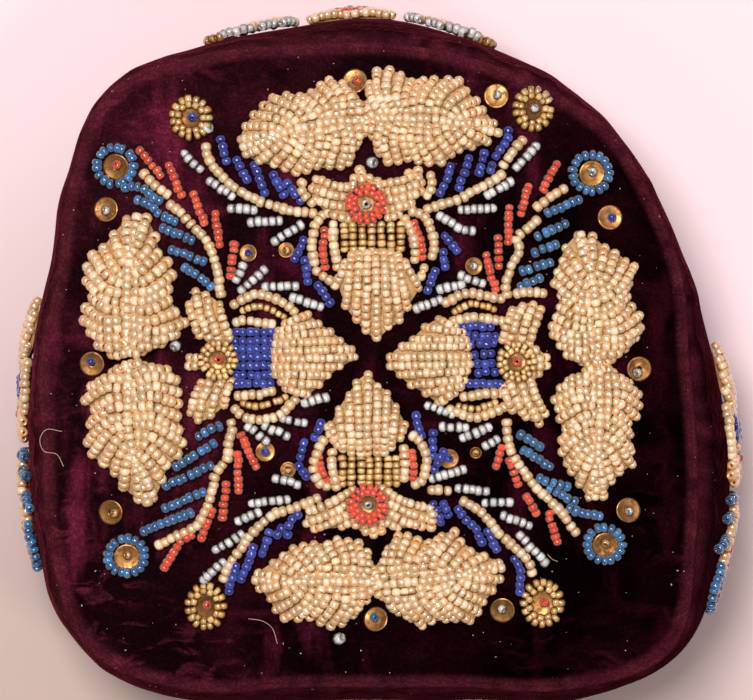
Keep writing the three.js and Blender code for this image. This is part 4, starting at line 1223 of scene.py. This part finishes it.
def band_spray(beads, place, stem, kinds, size):
    path = smooth_path(stem, STEM_STEPS)
    beads.string("cream", place, stem, rise=0.7)
    for side, kind in zip((1, -1), kinds):
        for share in BAND_STRING_SHARES:
            k = int(share * (STEM_STEPS - 1))
            run = path[min(STEM_STEPS - 1, k + 1)] - path[k - 1]
            a = math.atan2(-run[1], -run[0]) + side * math.radians(BAND_STRING_LEAN)
            far = BAND_STRING_LENGTH * size * rng.uniform(0.8, 1.1)
            first = path[k] + np.array(polar(a + side * 0.7, BAND_STRING_GAP))
            tip = first + np.array(polar(a, far))
            beads.string(kind, place, [first, tip], rise=0.6)


band_extras = Beads()
for side, (direction, up, bud, size, relief, stems) in BAND_FLOWERS.items():
    place = band_place(direction, up * SEAM_HEIGHT, math.radians(bud + 180))
    ring, eye, block, left_kind, right_kind = BAND_COLOURS[stems]
    star = BAND_STAR_HALF * size
    beads = Beads(sink=0.62)
    band_head(beads, place, star, relief, ring, eye)
    band_block(beads, place, star, relief, block)
    band_bud(beads, place, star, size, relief)
    finish_piece(beads, f"band_flower_{side}")
    for hand, sign in (("a", 1), ("b", -1)):
        stem = np.array([(x * star, sign * y * star) for x, y in BAND_STEMS[stems]])
        beads = Beads()
        band_spray(beads, place, stem, (left_kind, right_kind)[::sign], size)
        finish_piece(beads, f"band_spray_{side}_{hand}")
        end = stem[0] + unit(stem[0] - stem[1]) * BAND_ROSETTE_AHEAD
        kind = "light_blue" if stems == "ahead" else "amber"
        band_extras.ring(kind, place, end, BAND_ROSETTE_RADIUS * size)
        band_extras.single("coral", place, *end, 1.7, lean=0.4)
        eyes.append(sequin_points(place, *end, BAND_ROSETTE_SEQUIN * size, 5, 0.4))
finish_piece(band_extras, "band_rosettes", stands_for=False)


def plain_material(name, colour, rough):
    look = Look(name)
    look.feed(look.shader, {"Base Color": colour, "Roughness": rough})
    return look.material


# What lies under the beads: folded cream cloth, its warm orange partly painted shade and light
# through the glass, seen in the gaps between the strings
padding = join("padding_cloth",
               [(sheet.reshape(-1, 3), grid_faces(*sheet.shape[:2])) for sheet in pads],
               plain_material("padding", (0.62, 0.36, 0.15), 0.85))
settle(padding)
settle(join("small_sequins", eyes, BRASS))

# Loose threads
THREADS = [
    [(60, 432), (45, 430), (38, 440), (42, 452), (55, 455), (62, 467)],
    [(248, 620), (262, 622), (272, 630), (277, 645)],
    [(548, 555), (553, 560), (558, 562)],
]
THREAD_RADIUS = 0.07
THREAD_SIDES = 5


def thread_tube(points):
    """A thin tube that lifts off the velvet here and there."""
    path = smooth_path(points, 40)
    lift = 0.5 + 1.2 * np.abs(np.sin(np.linspace(0, 5, len(path))))
    spots = on_crown(path[:, 0], path[:, 1], lift)
    run = unit(np.gradient(spots, axis=0))
    aside = unit(np.cross(run, [0, 0, 1.0]))
    turn = turns(THREAD_SIDES)[:, None]
    circle = np.cos(turn) * aside[:, None] + np.sin(turn) * np.cross(aside, run)[:, None]
    tube = spots[:, None] + THREAD_RADIUS * circle
    return tube.reshape(-1, 3), grid_faces(len(path), THREAD_SIDES, tube=True)


threads = join("loose_threads", [thread_tube(points) for points in THREADS],
               plain_material("loose_thread", (0.55, 0.42, 0.3), 0.8))
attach(threads, "root")


# Floor, light and camera
FLOOR_HALF = 3.0


def make_floor():
    """Pale paper, with painted light falloff: a little darker towards the lower left."""
    mesh = bpy.data.meshes.new("floor")
    corners = [(-FLOOR_HALF, -FLOOR_HALF, 0), (FLOOR_HALF, -FLOOR_HALF, 0),
               (FLOOR_HALF, FLOOR_HALF, 0), (-FLOOR_HALF, FLOOR_HALF, 0)]
    mesh.from_pydata(corners, [], [(0, 1, 2, 3)])
    floor = bpy.data.objects.new("floor", mesh)
    bpy.context.scene.collection.objects.link(floor)
    look = Look("pale_paper")
    place = look.add("SeparateXYZ", {"Vector": look.spot()}).outputs
    # Painted light falloff: darker towards the lower left.
    share = look.remap(look.slant(place["X"], 0.3, place["Y"]), -0.13, 0.05)
    colour = look.mix(share, (0.51, 0.385, 0.34), (0.87, 0.665, 0.7))
    look.feed(look.shader, {"Base Color": colour, "Roughness": 0.9})
    mesh.materials.append(look.material)


# Place, size, power and colour. All point at the middle of the cap.
LIGHT_TARGET = Vector((0, 0, 0.05))
LIGHTS = {
    "window": ((-0.22, 0.3, 1.75), 0.45, 27, (1.0, 0.97, 0.95)),
    "softbox": ((0.1, 0.4, 1.9), 1.3, 5, (1.0, 0.96, 0.95)),
    "lamp": ((0.45, -0.35, 1.3), 0.16, 3.0, (1.0, 0.97, 0.95)),
}

make_floor()
for name, (spot, size, power, colour) in LIGHTS.items():
    data = bpy.data.lights.new(name, "AREA")
    data.size, data.energy, data.color = size, power, colour
    light = bpy.data.objects.new(name, data)
    light.location = spot
    light.rotation_euler = (LIGHT_TARGET - Vector(spot)).to_track_quat("-Z", "Y").to_euler()
    bpy.context.scene.collection.objects.link(light)
world = bpy.data.worlds.new("room")
bpy.context.scene.world = world
world.use_nodes = True
world.node_tree.nodes["Background"].inputs["Color"].default_value = (0.97, 0.93, 0.93, 1)
world.node_tree.nodes["Background"].inputs["Strength"].default_value = 0.32

# Where the camera hangs over the charts' middle, in millimetres.
CAMERA_PLACE = np.array([-1.0, 2.1, 1478.0])
CAMERA_FOCAL = 267.0
camera_data = bpy.data.cameras.new("camera")
camera_data.lens = CAMERA_FOCAL
camera_data.sensor_width = 36.0
camera_data.clip_end = 20
camera = bpy.data.objects.new("camera", camera_data)
camera.location = (CAMERA_PLACE + SHIFT) * MM
camera.rotation_euler = (0, 0, 0)
bpy.context.scene.collection.objects.link(camera)
bpy.context.scene.camera = camera
bpy.context.scene.view_settings.view_transform = "Standard"
